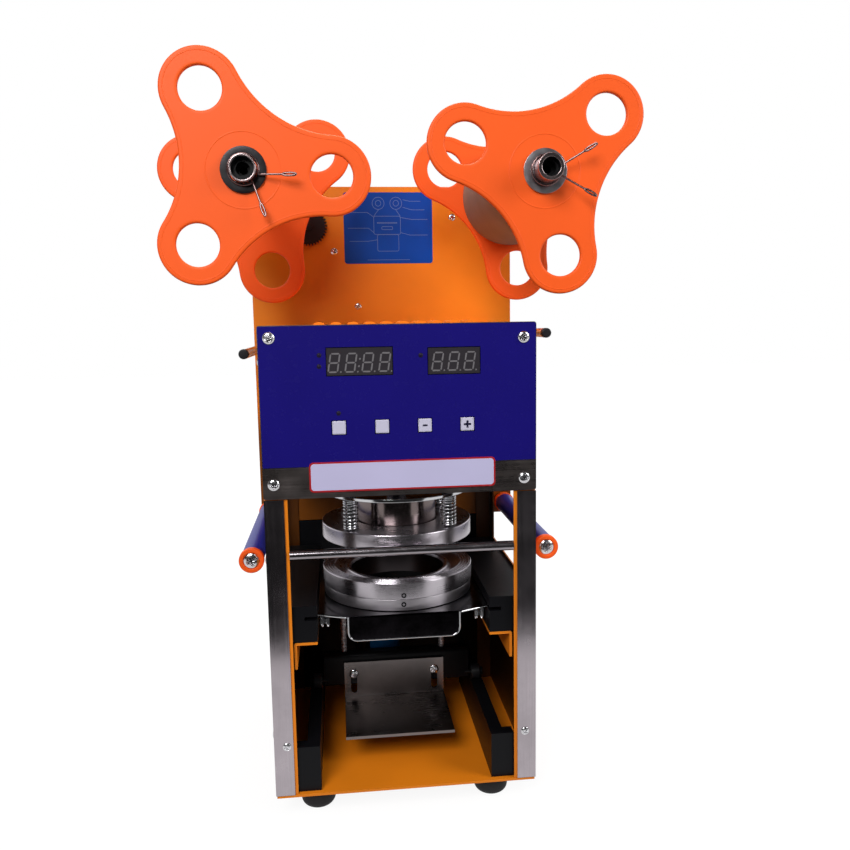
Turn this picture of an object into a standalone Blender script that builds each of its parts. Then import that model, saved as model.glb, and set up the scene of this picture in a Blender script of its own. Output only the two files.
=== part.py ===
"""A cup sealing machine: a sheet-metal body with a sliding mould tray, a sprung press head and two film reels.

Lengths are in metres and +Z is up. While the pieces are made, X is measured from the middle of the body,
Y from its front sheet backwards and Z from the top of the base plate. The finished machine is then set with
the middle of its outline over the world's origin, standing on its feet.
"""
import math

import bmesh
import bpy
from mathutils import Matrix, Vector

# Clearances
SEAT_GAP = 0.0003
RUN_GAP = 0.0004
SLIDE_GAP = 0.0006

# Body of folded sheet
BODY_WIDTH = 0.220
BODY_HEIGHT = 0.388
SIDE_DEPTH = 0.1976
REAR_DEPTH = 0.070
SHEET = 0.0012
BEND_RADIUS = 0.0020
FRONT_FLANGE = 0.0185
REAR_FLANGE = 0.0160
BASE_THICKNESS = 0.0022
BASE_INSET = 0.0008

# Window in each side through which the film runs
WINDOW_FRONT = 0.030
WINDOW_REAR = 0.179
WINDOW_TOP_DROP = 0.1330
WINDOW_HEIGHT = 0.0925

# Stainless strips and the control panel on the front
STRIP_WIDTH = 0.0158
STRIP_THICKNESS = 0.0010
PANEL_HEIGHT = 0.1367
PANEL_THICKNESS = 0.0012
PANEL_CORNER = 0.0020
OVERLAY_DROP = 0.1112
OVERLAY_THICKNESS = 0.0004
OVERLAY_EDGE = 0.0006
OVERLAY_CORNER = 0.0010
KEY_SIZE = 0.0106
KEY_PITCH = 0.0341
KEY_FIRST_X = -0.0489
KEY_DROP = 0.0807
KEY_COUNT = 4
KEY_TRAVEL = 0.0006
KEY_PROUD = 0.0007
BOARD_GAP = 0.0006
BOARD_THICKNESS = 0.0016
BOARD_DEPTH = 0.0060
BOARD_MARGIN = 0.0120
COUNT_DISPLAY = (-0.0314, 0.0288, 0.0514, 0.0214)
HEAT_DISPLAY = (0.0433, 0.0297, 0.0412, 0.0206)

# Louvred top cover
LID_FOLD = 0.0140
LOUVRE_COUNT = 10
LOUVRE_PITCH = 0.0140
LOUVRE_WIDTH = 0.0090
LOUVRE_HEIGHT = 0.0022
LOUVRE_LENGTH = 0.0450
LOUVRE_MIDDLE_Y = 0.0560

# Tall back plate
PLATE_OVERHANG = 0.0219
PLATE_RISE = 0.1367
PLATE_DROP = 0.2030
PLATE_THICKNESS = 0.0020
PLATE_CORNER = 0.0050

# Rear cover with vents and the mains inlet
COVER_INSET = 0.0020
VENT_COUNT = 6
VENT_LENGTH = 0.0500
VENT_WIDTH = 0.0040
VENT_PITCH = 0.0110
VENT_DROP = 0.0280
INLET_WIDTH = 0.0270
INLET_HEIGHT = 0.0200
INLET_DEPTH = 0.0260
INLET_X = 0.0600
INLET_Z = 0.0450
INLET_FRAME = 0.0050
INLET_WALL = 0.0022
INLET_PIN = (0.0020, 0.0070)
INLET_PIN_PITCH = 0.0070

# Feet
FOOT_RADIUS = 0.01475
FOOT_HEIGHT = 0.0220
FOOT_ROUND = 0.0065
FOOT_SCREW_RADIUS = 0.0042
FOOT_SCREW_DEPTH = 0.0080
FOOT_SPACE = 0.0340
FOOT_MARGIN = 0.0280

# Bar across the front, above the mould
BAR_RADIUS = 0.0040
BAR_DROP = 0.1833
BAR_Y = 0.0010

# Rails that carry the tray, and the brackets under them
RAIL_SPACE = 0.0383
RAIL_HEIGHT = 0.0305
RAIL_UNDER_TRAY = 0.0208
RAIL_FRONT = 0.0045
RAIL_LENGTH = 0.1850
GROOVE_DEPTH = 0.0100
BRACKET_THICKNESS = 0.0022
BRACKET_WIDTH = 0.0192
BRACKET_LEG = 0.0225

# Rails on the floor for the carriage wheels
FLOOR_RAIL_SPACE = 0.0375
FLOOR_RAIL_WIDTH = 0.0110
FLOOR_RAIL_BLOCK = 0.0194
FLOOR_RAIL_BLOCK_LENGTH = 0.0110
FLOOR_RAIL_HEIGHT = 0.0390
FLOOR_RAIL_FRONT = 0.0034
FLOOR_RAIL_LENGTH = 0.1850

# Mould rings, tray and carriage
MOULD_SETBACK = 0.0070
MOULD_RAIL_GAP = 0.0047
MOULD_RING_WIDTH = 0.0250
UPPER_RING_HEIGHT = 0.0142
LOWER_RING_HEIGHT = 0.0097
LOWER_RING_WIDTH = 0.0170
LOWER_RING_STEP = 0.0008
SEALING_GAP = 0.0270
RIDGE_COUNT = 3
RIDGE_PITCH = 0.0030
RIDGE_HEIGHT = 0.0010
LIP_WIDTH = 0.0050
TRAY_THICKNESS = 0.0020
TRAY_MARGIN = 0.0025
TRAY_WING = 0.0088
TRAY_WING_FRONT = 0.0180
TRAY_WING_LENGTH = 0.1120
TRAY_LIP_SPACE = 0.0252
TRAY_LIP_DROP = 0.0210
TRAY_LIP_Y = 0.0020
TRAY_LIP_CORNER = 0.0060
WING_BOLT_Y = 0.0220
WING_BOLT_INSETS = (0.0035, 0.0086)
WING_BOLT_RADIUS = 0.0016
WING_BOLT_LENGTH = 0.0145
WING_NUT_RADIUS = 0.0024
WING_NUT_LOW = 0.0125
POST_RADIUS = 0.0030
POST_SPACE = 0.0240
POST_SETBACK = 0.0070
CROSS_PLATE_THICKNESS = 0.0030
CROSS_PLATE_LOW = 0.0420
CROSS_PLATE_TOP = 0.0760
CROSS_PLATE_SETBACK = 0.0370
CROSS_FLANGE = 0.0140
CROSS_BEND = 0.0040
WHEEL_RADIUS = 0.0070
WHEEL_WIDTH = 0.0085
WHEEL_BORE = 0.0025
SHELF_SPACE = 0.0245
SHELF_THICKNESS = 0.0025
SHELF_X = -0.0030
SHELF_Z = 0.0275
SHELF_DEPTH = 0.0790
SHELF_TOP = 0.0645
SLOT_WIDTH = 0.0060
SLOT_LENGTH = 0.0230
SLOT_INSET = 0.0090

# Press head
HEAD_PLATE_STEP = 0.0010
HEAD_PLATE_THICKNESS = 0.0030
HEAD_PLATE_DROP = 0.1455
RAM_RADIUS = 0.0090
RAM_LENGTH = 0.0950
HEATER_GAP = 0.0060
HEATER_HEIGHT = 0.0385
DISC_STEP = 0.0004
DISC_HEIGHT = 0.0135
DISC_HANG = 0.0405
DISC_BORE_GAP = 0.0010
PIN_RADIUS = 0.0027
PIN_INSET = 0.0076
PIN_NUT_RADIUS = 0.0052
PIN_NUT_HEIGHT = 0.0040
PIN_SPARE = 0.0120
SPRING_RADIUS = 0.0057
SPRING_WIRE = 0.0008
SPRING_TURNS = 6
BRIDGE_DROP = 0.0880
BRIDGE_THICKNESS = 0.0040
BRIDGE_FRONT = 0.0200
BRIDGE_LENGTH = 0.1400
BRIDGE_FLANGE = 0.0150
BRIDGE_BEND = 0.0060
BUSH_RADIUS = 0.0150
BUSH_HEIGHT = 0.0120
PRESS_MOTOR_SIZE = (0.055, 0.075, 0.060)
PRESS_MOTOR_X = 0.0600

# Motor that drives the tray
TRAY_MOTOR_RADIUS = 0.0225
TRAY_MOTOR_GAP = 0.0325
TRAY_MOTOR_X = -0.0165
TRAY_MOTOR_SETBACK = 0.0440

# Film reels
REEL_OVERHANG = 0.0027
REEL_RISE = 0.1133
REEL_FRONT = -0.0166
REEL_GAP = 0.1255
LOBE_REACH = 0.0642
LOBE_RADIUS = 0.0296
LOBE_HOLE = 0.0158
WAIST = 0.0463
FLANGE_THICKNESS = 0.0045
SHAFT_RADIUS = 0.0100
SHAFT_BORE = 0.0078
SHAFT_BORE_DEPTH = 0.0250
SHAFT_COLLAR = 0.0140
SHAFT_COLLAR_LENGTH = 0.0060
TAKE_UP_NOSE = 0.0095
SUPPLY_NOSE = 0.0195
WASHER_RADIUS = 0.0168
WASHER_THICKNESS = 0.0015
CORE_RADIUS = 0.0428
CORE_WALL = 0.0040
TAKE_UP_FRONT_ANGLES = (116.5, 236.5, 356.5)
TAKE_UP_REAR_ANGLES = (37.1, 157.1, 277.1)
SUPPLY_FRONT_ANGLES = (41.4, 161.4, 281.4)
SUPPLY_REAR_ANGLES = (37.0, 157.0, 277.0)

# Film gear drive
GEAR_MODULE = 0.0010
DRIVE_TEETH = 36
TAKE_UP_TEETH = 48
GEAR_FACE = 0.0060
GEAR_BACKLASH = 0.00030
GEAR_LINE_ANGLE = -22.6
DRIVE_SHAFT_RADIUS = 0.0040
FILM_MOTOR_RADIUS = 0.0160
FILM_MOTOR_LENGTH = 0.0400

# Film rollers and guide rods
ROLLER_OVERHANG = 0.0137
ROLLER_RISE = 0.0119
ROLLER_RADIUS = 0.0093
ROLLER_CAP_RADIUS = 0.0103
ROLLER_CAP_LENGTH = 0.0060
ROLLER_FRONT = 0.0167
ROLLER_STUB = 0.0040
ROLLER_SCREW_RADIUS = 0.0060
ROLLER_SCREW_DEPTH = 0.0015
ROD_RADIUS = 0.0040
ROD_OVERHANG = 0.0120
ROD_FRONT = 0.0120
ROD_LEFT_DROP = 0.0220
ROD_RIGHT_DROP = 0.0095

# Smoothness of round pieces
FINE_STEPS = 32
ROUND_STEPS = 20
SMALL_STEPS = 12
HOLE_STEPS = 14

# Places worked out from the body's height
PANEL_LOW = BODY_HEIGHT - PANEL_HEIGHT
OVERLAY_LOW = BODY_HEIGHT - OVERLAY_DROP
KEY_Z = BODY_HEIGHT - KEY_DROP
PLATE_TOP = BODY_HEIGHT + PLATE_RISE
PLATE_LOW = BODY_HEIGHT - PLATE_DROP
VENT_LOW = BODY_HEIGHT - VENT_DROP
WINDOW_HIGH = BODY_HEIGHT - WINDOW_TOP_DROP
WINDOW_LOW = WINDOW_HIGH - WINDOW_HEIGHT
BAR_Z = BODY_HEIGHT - BAR_DROP
BRIDGE_Z = BODY_HEIGHT - BRIDGE_DROP
HEAD_PLATE_LOW = BODY_HEIGHT - HEAD_PLATE_DROP
HEAD_PLATE_TOP = HEAD_PLATE_LOW + HEAD_PLATE_THICKNESS
HEATER_LOW = HEAD_PLATE_LOW - HEATER_HEIGHT
DISC_LOW = HEAD_PLATE_LOW - DISC_HANG
DISC_TOP = DISC_LOW + DISC_HEIGHT
MOULD_TOP = DISC_LOW - SEALING_GAP
RING_JOINT = MOULD_TOP - UPPER_RING_HEIGHT
LOWER_RING_LOW = RING_JOINT - SEAT_GAP - LOWER_RING_HEIGHT
TRAY_TOP = LOWER_RING_LOW - SEAT_GAP
RAIL_LOW = TRAY_TOP - RAIL_UNDER_TRAY
TRAY_MOTOR_HEIGHT = TRAY_TOP - TRAY_MOTOR_GAP
REEL_Z = BODY_HEIGHT + REEL_RISE
ROLLER_Z = PLATE_LOW + ROLLER_RISE
ROD_LEFT_Z = BODY_HEIGHT - ROD_LEFT_DROP
ROD_RIGHT_Z = BODY_HEIGHT - ROD_RIGHT_DROP
BASE_TOP = -SEAT_GAP

# Places worked out from the body's width
HALF_WIDTH = BODY_WIDTH / 2
PLATE_WIDTH = BODY_WIDTH + 2 * PLATE_OVERHANG
REEL_X = HALF_WIDTH + REEL_OVERHANG
ROLLER_X = HALF_WIDTH + ROLLER_OVERHANG
ROD_X = HALF_WIDTH + ROD_OVERHANG
FOOT_X = HALF_WIDTH - FOOT_SPACE
RAIL_INNER_X = HALF_WIDTH - RAIL_SPACE
FLOOR_RAIL_X = HALF_WIDTH - FLOOR_RAIL_SPACE
MOULD_RADIUS = RAIL_INNER_X - MOULD_RAIL_GAP
MOULD_BORE = MOULD_RADIUS - MOULD_RING_WIDTH
LOWER_RING_BORE = MOULD_RADIUS - LOWER_RING_WIDTH
TRAY_RADIUS = MOULD_RADIUS + TRAY_MARGIN
TRAY_LIP_WIDTH = 2 * (RAIL_INNER_X - TRAY_LIP_SPACE)
POST_X = RAIL_INNER_X - POST_SPACE
SHELF_WIDTH = 2 * (FLOOR_RAIL_X - SHELF_SPACE)
HEATER_RADIUS = MOULD_BORE - HEATER_GAP
DISC_RADIUS = MOULD_RADIUS - DISC_STEP
HEAD_PLATE_RADIUS = MOULD_RADIUS - HEAD_PLATE_STEP
PIN_CIRCLE = DISC_RADIUS - PIN_INSET
MOULD_Y = MOULD_RADIUS + MOULD_SETBACK
CROSS_PLATE_FRONT = MOULD_Y + CROSS_PLATE_SETBACK
POST_Y = CROSS_PLATE_FRONT + POST_SETBACK
TRAY_MOTOR_Y = CROSS_PLATE_FRONT + TRAY_MOTOR_SETBACK

# Places worked out from the depths
PLATE_FRONT = SIDE_DEPTH + SEAT_GAP
PLATE_BACK = PLATE_FRONT + PLATE_THICKNESS
COVER_FRONT = PLATE_BACK + SEAT_GAP
COVER_BACK = COVER_FRONT + REAR_DEPTH
REEL_REAR = REEL_FRONT + REEL_GAP + FLANGE_THICKNESS
PANEL_FRONT = -SEAT_GAP - PANEL_THICKNESS
OVERLAY_FRONT = PANEL_FRONT - SEAT_GAP - OVERLAY_THICKNESS


def new_collection(name):
    collection = bpy.data.collections.new(name)
    bpy.context.scene.collection.children.link(collection)
    return collection


for leftover in list(bpy.data.objects):
    bpy.data.objects.remove(leftover, do_unlink=True)
machine_pieces = new_collection("cup_sealing_machine")
cutters = new_collection("cutters")
machine = bpy.data.objects.new("machine", None)
machine_pieces.objects.link(machine)


def finish(name, colour, roughness, metallic):
    """A material with the piece's colour, roughness and metallic value."""
    material = bpy.data.materials.new(name)
    material.use_nodes = True
    shader = material.node_tree.nodes["Principled BSDF"]
    shader.inputs["Base Color"].default_value = (*colour, 1.0)
    shader.inputs["Roughness"].default_value = roughness
    shader.inputs["Metallic"].default_value = metallic
    return material


ORANGE_PAINT = finish("orange_paint", (0.68, 0.16, 0.01), 0.35, 0.0)
ORANGE_PLASTIC = finish("orange_plastic", (1.0, 0.13, 0.02), 0.45, 0.0)
STAINLESS = finish("stainless", (0.55, 0.53, 0.53), 0.35, 1.0)
BRIGHT_STEEL = finish("bright_steel", (0.75, 0.75, 0.76), 0.18, 1.0)
DARK_STEEL = finish("dark_steel", (0.20, 0.19, 0.19), 0.4, 1.0)
BLACK_PLASTIC = finish("black_plastic", (0.02, 0.02, 0.03), 0.5, 0.0)
BLUE_FILM = finish("blue_film", (0.01, 0.005, 0.15), 0.3, 0.0)
BLUE_PLASTIC = finish("blue_plastic", (0.015, 0.02, 0.20), 0.35, 0.0)
WHITE_PLASTIC = finish("white_plastic", (0.8, 0.8, 0.85), 0.5, 0.0)
RUBBER = finish("rubber", (0.015, 0.012, 0.013), 0.8, 0.0)
BOARD_GREEN = finish("board_green", (0.01, 0.12, 0.03), 0.5, 0.0)
GREY_TUBE = finish("grey_tube", (0.35, 0.30, 0.27), 0.7, 0.0)


def add_piece(name, mesh, material, place=(0, 0, 0), turn=None):
    """Adds a mesh as one named piece of the machine."""
    piece = bpy.data.objects.new(name, mesh)
    machine_pieces.objects.link(piece)
    piece.parent = machine
    piece.location = place
    if turn is not None:
        piece.rotation_euler = turn
    mesh.materials.append(material)
    return piece


def smooth_round(piece):
    """Smooth shading on a round piece, with its edges kept crisp."""
    piece.data.shade_smooth()
    piece.data.set_sharp_from_angle(angle=math.radians(35))


def box_mesh(name, low, high):
    """A box between two corners."""
    shape = bmesh.new()
    middle = (Vector(low) + Vector(high)) / 2
    size = Vector(high) - Vector(low)
    bmesh.ops.create_cube(shape, size=1.0, matrix=Matrix.Translation(middle) @ Matrix.Diagonal((*size, 1.0)))
    mesh = bpy.data.meshes.new(name)
    shape.to_mesh(mesh)
    shape.free()
    return mesh


def drum_mesh(name, radius, start, end, steps=ROUND_STEPS):
    """A cylinder between two points on its axis."""
    start, end = Vector(start), Vector(end)
    turn = (end - start).to_track_quat("Z", "Y").to_matrix().to_4x4()
    shape = bmesh.new()
    bmesh.ops.create_cone(shape, cap_ends=True, segments=steps, radius1=radius, radius2=radius,
                          depth=(end - start).length, matrix=Matrix.Translation((start + end) / 2) @ turn)
    mesh = bpy.data.meshes.new(name)
    shape.to_mesh(mesh)
    shape.free()
    return mesh


def boolean(piece, tool_mesh, operation, place=(0, 0, 0), turn=None):
    """Cuts a tool out of a piece, or joins it on, and keeps the tool in the cutters' collection."""
    tool = bpy.data.objects.new(piece.name + "_tool", tool_mesh)
    cutters.objects.link(tool)
    tool.parent = machine
    tool.location = place
    if turn is not None:
        tool.rotation_euler = turn
    tool.hide_render = True
    tool.display_type = "WIRE"
    step = piece.modifiers.new(operation.lower(), "BOOLEAN")
    step.operation = operation
    step.solver = "EXACT"
    step.object = tool


def cut(piece, tool_mesh, **where):
    boolean(piece, tool_mesh, "DIFFERENCE", **where)


def join(piece, tool_mesh, **where):
    boolean(piece, tool_mesh, "UNION", **where)


def add_box(name, low, high, material, round_edge=0.0):
    piece = add_piece(name, box_mesh(name, low, high), material)
    if round_edge:
        bevel = piece.modifiers.new("round_edges", "BEVEL")
        bevel.width = round_edge
        bevel.segments = 2
    return piece


def arc(middle, radius, first, last, steps):
    """Points along an arc, from one angle to another in degrees."""
    points = []
    for step in range(steps + 1):
        angle = math.radians(first + (last - first) * step / steps)
        points.append((middle[0] + radius * math.cos(angle), middle[1] + radius * math.sin(angle)))
    return points


def rounded_rectangle(middle, width, height, radius, steps=4):
    """A rectangle with round corners, anticlockwise from its lower right."""
    across, up = width / 2 - radius, height / 2 - radius
    points = []
    for quarter, (side, top) in enumerate([(1, -1), (1, 1), (-1, 1), (-1, -1)]):
        corner = (middle[0] + side * across, middle[1] + top * up)
        points += arc(corner, radius, quarter * 90 - 90, quarter * 90, steps)
    return points


def flat_mesh(name, outlines, thickness):
    """A flat plate: the first outline less the others, half its thickness either side of its plane."""
    curve = bpy.data.curves.new(name, "CURVE")
    curve.dimensions = "2D"
    curve.fill_mode = "BOTH"
    curve.extrude = thickness / 2
    for outline in outlines:
        spline = curve.splines.new("POLY")
        spline.points.add(len(outline) - 1)
        for point, (x, y) in zip(spline.points, outline):
            point.co = (x, y, 0.0, 1.0)
        spline.use_cyclic_u = True
    drawn = bpy.data.objects.new(name, curve)
    cutters.objects.link(drawn)
    bpy.context.view_layer.update()
    mesh = bpy.data.meshes.new_from_object(drawn.evaluated_get(bpy.context.evaluated_depsgraph_get()))
    bpy.data.objects.remove(drawn, do_unlink=True)
    mesh.name = name
    mesh.materials.clear()
    shape = bmesh.new()
    shape.from_mesh(mesh)
    bmesh.ops.remove_doubles(shape, verts=shape.verts, dist=1e-6)
    bmesh.ops.recalc_face_normals(shape, faces=shape.faces)
    shape.to_mesh(mesh)
    shape.free()
    return mesh


# A plate that is drawn flat stands up facing the front when it is turned by this.
FACING_FRONT = (math.pi / 2, 0, 0)


def turned_mesh(name, profile, closed):
    """The profile of a turned piece, as (radius, height) points down its outer side."""
    mesh = bpy.data.meshes.new(name)
    edges = [(i, i + 1) for i in range(len(profile) - 1)]
    if closed:
        edges.append((len(profile) - 1, 0))
    mesh.from_pydata([(radius, 0.0, height) for radius, height in profile], edges, [])
    return mesh


def add_turned(name, profile, material, place, turn=None, steps=ROUND_STEPS, closed=False):
    """A turned piece: its profile carried once round the piece's own Z axis."""
    piece = add_piece(name, turned_mesh(name, profile, closed), material, place, turn)
    screw = piece.modifiers.new("turn", "SCREW")
    screw.steps = steps
    screw.render_steps = steps
    screw.use_merge_vertices = True
    screw.merge_threshold = 1e-5
    screw.use_smooth_shade = True
    return piece


def ring_profile(outer, inner, low, high):
    return [(outer, high), (outer, low), (inner, low), (inner, high)]


def folded_sheet(name, corners, thickness, start, end, plane, material, radius=BEND_RADIUS):
    """A folded sheet: a line with rounded bends, drawn across by its length and given its thickness.

    The corners are points of the sheet's outer face, which lies on the right of the line. The plane "XY"
    draws the line in X and Y and runs it along Z, and "YZ" draws it in Y and Z and runs it along X.
    """
    line = [Vector(corners[0])]
    for before, corner, after in zip(corners, corners[1:], corners[2:]):
        before, corner, after = Vector(before), Vector(corner), Vector(after)
        back, ahead = (before - corner).normalized(), (after - corner).normalized()
        half = back.angle(ahead) / 2
        middle = corner + (back + ahead).normalized() * radius / math.sin(half)
        first = (corner + back * radius / math.tan(half) - middle).normalized()
        last = (corner + ahead * radius / math.tan(half) - middle).normalized()
        for step in range(4):
            line.append(middle + first.slerp(last, step / 3) * radius)
    line.append(Vector(corners[-1]))
    vertices = []
    for u, v in line:
        for w in (start, end):
            vertices.append((u, v, w) if plane == "XY" else (w, u, v))
    faces = [(2 * i, 2 * i + 2, 2 * i + 3, 2 * i + 1) for i in range(len(line) - 1)]
    mesh = bpy.data.meshes.new(name)
    mesh.from_pydata(vertices, [], faces)
    piece = add_piece(name, mesh, material)
    wall = piece.modifiers.new("wall", "SOLIDIFY")
    wall.thickness = thickness
    wall.offset = -1.0
    wall.use_even_offset = True
    return piece


def make_base():
    """The floor of the body: one flat painted sheet."""
    edge = HALF_WIDTH - BASE_INSET
    add_box("base_plate", (-edge, -0.0005, BASE_TOP - BASE_THICKNESS), (edge, COVER_BACK, BASE_TOP),
            ORANGE_PAINT)


def make_side_panels():
    """The two sides: sheet folded inwards at the front and the rear, with a window for the film."""
    height = BODY_HEIGHT - SHEET - SEAT_GAP
    for name, side in (("side_panel_left", -1), ("side_panel_right", 1)):
        corners = [(side * (HALF_WIDTH - FRONT_FLANGE), 0.0), (side * HALF_WIDTH, 0.0),
                   (side * HALF_WIDTH, SIDE_DEPTH), (side * (HALF_WIDTH - REAR_FLANGE), SIDE_DEPTH)]
        if side < 0:
            corners.reverse()
        panel = folded_sheet(name, corners, SHEET, 0.0, height, "XY", ORANGE_PAINT)
        across = (side * (HALF_WIDTH - 2 * SHEET), side * (HALF_WIDTH + SHEET))
        cut(panel, box_mesh(name, (min(across), WINDOW_FRONT, WINDOW_LOW),
                            (max(across), WINDOW_REAR, WINDOW_HIGH)))


def make_front_strips():
    """Brushed stainless strips over the folded front edges, from the base to the control panel."""
    for name, side in (("front_strip_left", -1), ("front_strip_right", 1)):
        across = sorted((side * (HALF_WIDTH - STRIP_WIDTH), side * HALF_WIDTH))
        add_box(name, (across[0], -SEAT_GAP - STRIP_THICKNESS, 0.0),
                (across[1], -SEAT_GAP, PANEL_LOW - 2 * SEAT_GAP), STAINLESS)


def key_places():
    return [KEY_FIRST_X + KEY_PITCH * number for number in range(KEY_COUNT)]


def rectangle(middle, width, height):
    return [(middle[0] + side * width / 2, middle[1] + up * height / 2)
            for side, up in ((1, -1), (1, 1), (-1, 1), (-1, -1))]


def panel_openings(clearance):
    """Outlines of the two display windows and the key holes, each wider than what fills it."""
    outlines = []
    for x, drop, width, height in (COUNT_DISPLAY, HEAT_DISPLAY):
        middle = (x, BODY_HEIGHT - drop)
        outlines.append(rectangle(middle, width + 2 * clearance, height + 2 * clearance))
    for x in key_places():
        size = KEY_SIZE + 2 * clearance
        outlines.append(rectangle((x, KEY_Z), size, size))
    return outlines


def make_control_panel():
    """The stainless front of the housing and the blue film on it, both open at the displays and the keys."""
    middle = (PANEL_LOW + BODY_HEIGHT) / 2
    outline = rounded_rectangle((0, middle), BODY_WIDTH, BODY_HEIGHT - PANEL_LOW, PANEL_CORNER)
    sheet = flat_mesh("control_panel", [outline] + panel_openings(SLIDE_GAP), PANEL_THICKNESS)
    add_piece("control_panel", sheet, STAINLESS, (0, PANEL_FRONT + PANEL_THICKNESS / 2, 0), FACING_FRONT)
    high = BODY_HEIGHT - OVERLAY_EDGE
    width = BODY_WIDTH - 2 * OVERLAY_EDGE
    outline = rounded_rectangle((0, (OVERLAY_LOW + high) / 2), width, high - OVERLAY_LOW, OVERLAY_CORNER)
    film = flat_mesh("panel_overlay", [outline] + panel_openings(SLIDE_GAP), OVERLAY_THICKNESS)
    add_piece("panel_overlay", film, BLUE_FILM, (0, OVERLAY_FRONT + OVERLAY_THICKNESS / 2, 0), FACING_FRONT)


def make_circuit_board():
    """The board behind the panel, with its two display blocks reaching out through their windows."""
    low, high = PANEL_LOW + BOARD_MARGIN, BODY_HEIGHT - BOARD_MARGIN
    edge = HALF_WIDTH - FRONT_FLANGE - BOARD_GAP
    board = add_box("circuit_board", (-edge, BOARD_DEPTH, low), (edge, BOARD_DEPTH + BOARD_THICKNESS, high),
                    BOARD_GREEN)
    for x, drop, width, height in (COUNT_DISPLAY, HEAT_DISPLAY):
        z = BODY_HEIGHT - drop
        join(board, box_mesh("display", (x - width / 2, OVERLAY_FRONT + 0.0001, z - height / 2),
                             (x + width / 2, BOARD_DEPTH + BOARD_THICKNESS / 2, z + height / 2)))


def make_keys():
    """Four square keys, each pushing back on its switch on the board."""
    back = BOARD_DEPTH - KEY_TRAVEL - SEAT_GAP
    for number, x in enumerate(key_places(), 1):
        name = f"key_{number}"
        key = add_piece(name, box_mesh(name, (-KEY_SIZE / 2, OVERLAY_FRONT - KEY_PROUD, -KEY_SIZE / 2),
                                       (KEY_SIZE / 2, back, KEY_SIZE / 2)), WHITE_PLASTIC, (x, 0, KEY_Z))
        bevel = key.modifiers.new("round_edges", "BEVEL")
        bevel.width = 0.0004
        bevel.segments = 1


def make_top_cover():
    """The lid of the housing, folded down behind the panel, with a row of pressed louvres near its front."""
    front = SHEET + SLIDE_GAP
    edge = HALF_WIDTH - SHEET - SEAT_GAP
    corners = [(SIDE_DEPTH, BODY_HEIGHT), (front, BODY_HEIGHT), (front, BODY_HEIGHT - LID_FOLD)]
    lid = folded_sheet("top_cover", corners, SHEET, -edge, edge, "YZ", ORANGE_PAINT)
    for number in range(LOUVRE_COUNT):
        x = (number - (LOUVRE_COUNT - 1) / 2) * LOUVRE_PITCH
        louvre = drum_mesh("louvre", LOUVRE_WIDTH / 2, (0, -LOUVRE_LENGTH / 2, 0), (0, LOUVRE_LENGTH / 2, 0),
                           SMALL_STEPS)
        louvre.transform(Matrix.Diagonal((1.0, 1.0, LOUVRE_HEIGHT / (LOUVRE_WIDTH / 2), 1.0)))
        join(lid, louvre, place=(x, LOUVRE_MIDDLE_Y, BODY_HEIGHT))
    cut(lid, box_mesh("under_louvres", (-HALF_WIDTH / 1.4, front + 0.006, BODY_HEIGHT - 0.010),
                      (HALF_WIDTH / 1.4, SIDE_DEPTH - 0.010, BODY_HEIGHT - SHEET)))


def film_gear_place():
    """The middle of the drive gear: one centre distance from the take-up shaft, in mesh with its gear."""
    distance = GEAR_MODULE * (DRIVE_TEETH + TAKE_UP_TEETH) / 2
    angle = math.radians(GEAR_LINE_ANGLE)
    return -REEL_X + distance * math.cos(angle), REEL_Z + distance * math.sin(angle)


def round_hole(middle, radius, steps=ROUND_STEPS):
    """A hole whose flats stay outside a round piece of the given radius."""
    return arc(middle, radius / math.cos(math.pi / steps), 0, 360 * (steps - 1) / steps, steps - 1)


def make_back_plate():
    """The tall plate behind the housing, wider than the body, which carries the reels, rods and rollers."""
    outline = rounded_rectangle((0, (PLATE_LOW + PLATE_TOP) / 2), PLATE_WIDTH, PLATE_TOP - PLATE_LOW,
                                PLATE_CORNER)
    holes = [round_hole((side * REEL_X, REEL_Z), SHAFT_RADIUS + RUN_GAP) for side in (-1, 1)]
    holes.append(round_hole(film_gear_place(), DRIVE_SHAFT_RADIUS + RUN_GAP, SMALL_STEPS))
    for side in (-1, 1):
        holes.append(round_hole((side * ROLLER_X, ROLLER_Z), ROLLER_STUB + RUN_GAP, SMALL_STEPS))
    mesh = flat_mesh("back_plate", [outline] + holes, PLATE_THICKNESS)
    add_piece("back_plate", mesh, ORANGE_PAINT, (0, PLATE_FRONT + PLATE_THICKNESS / 2, 0), FACING_FRONT)


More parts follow.
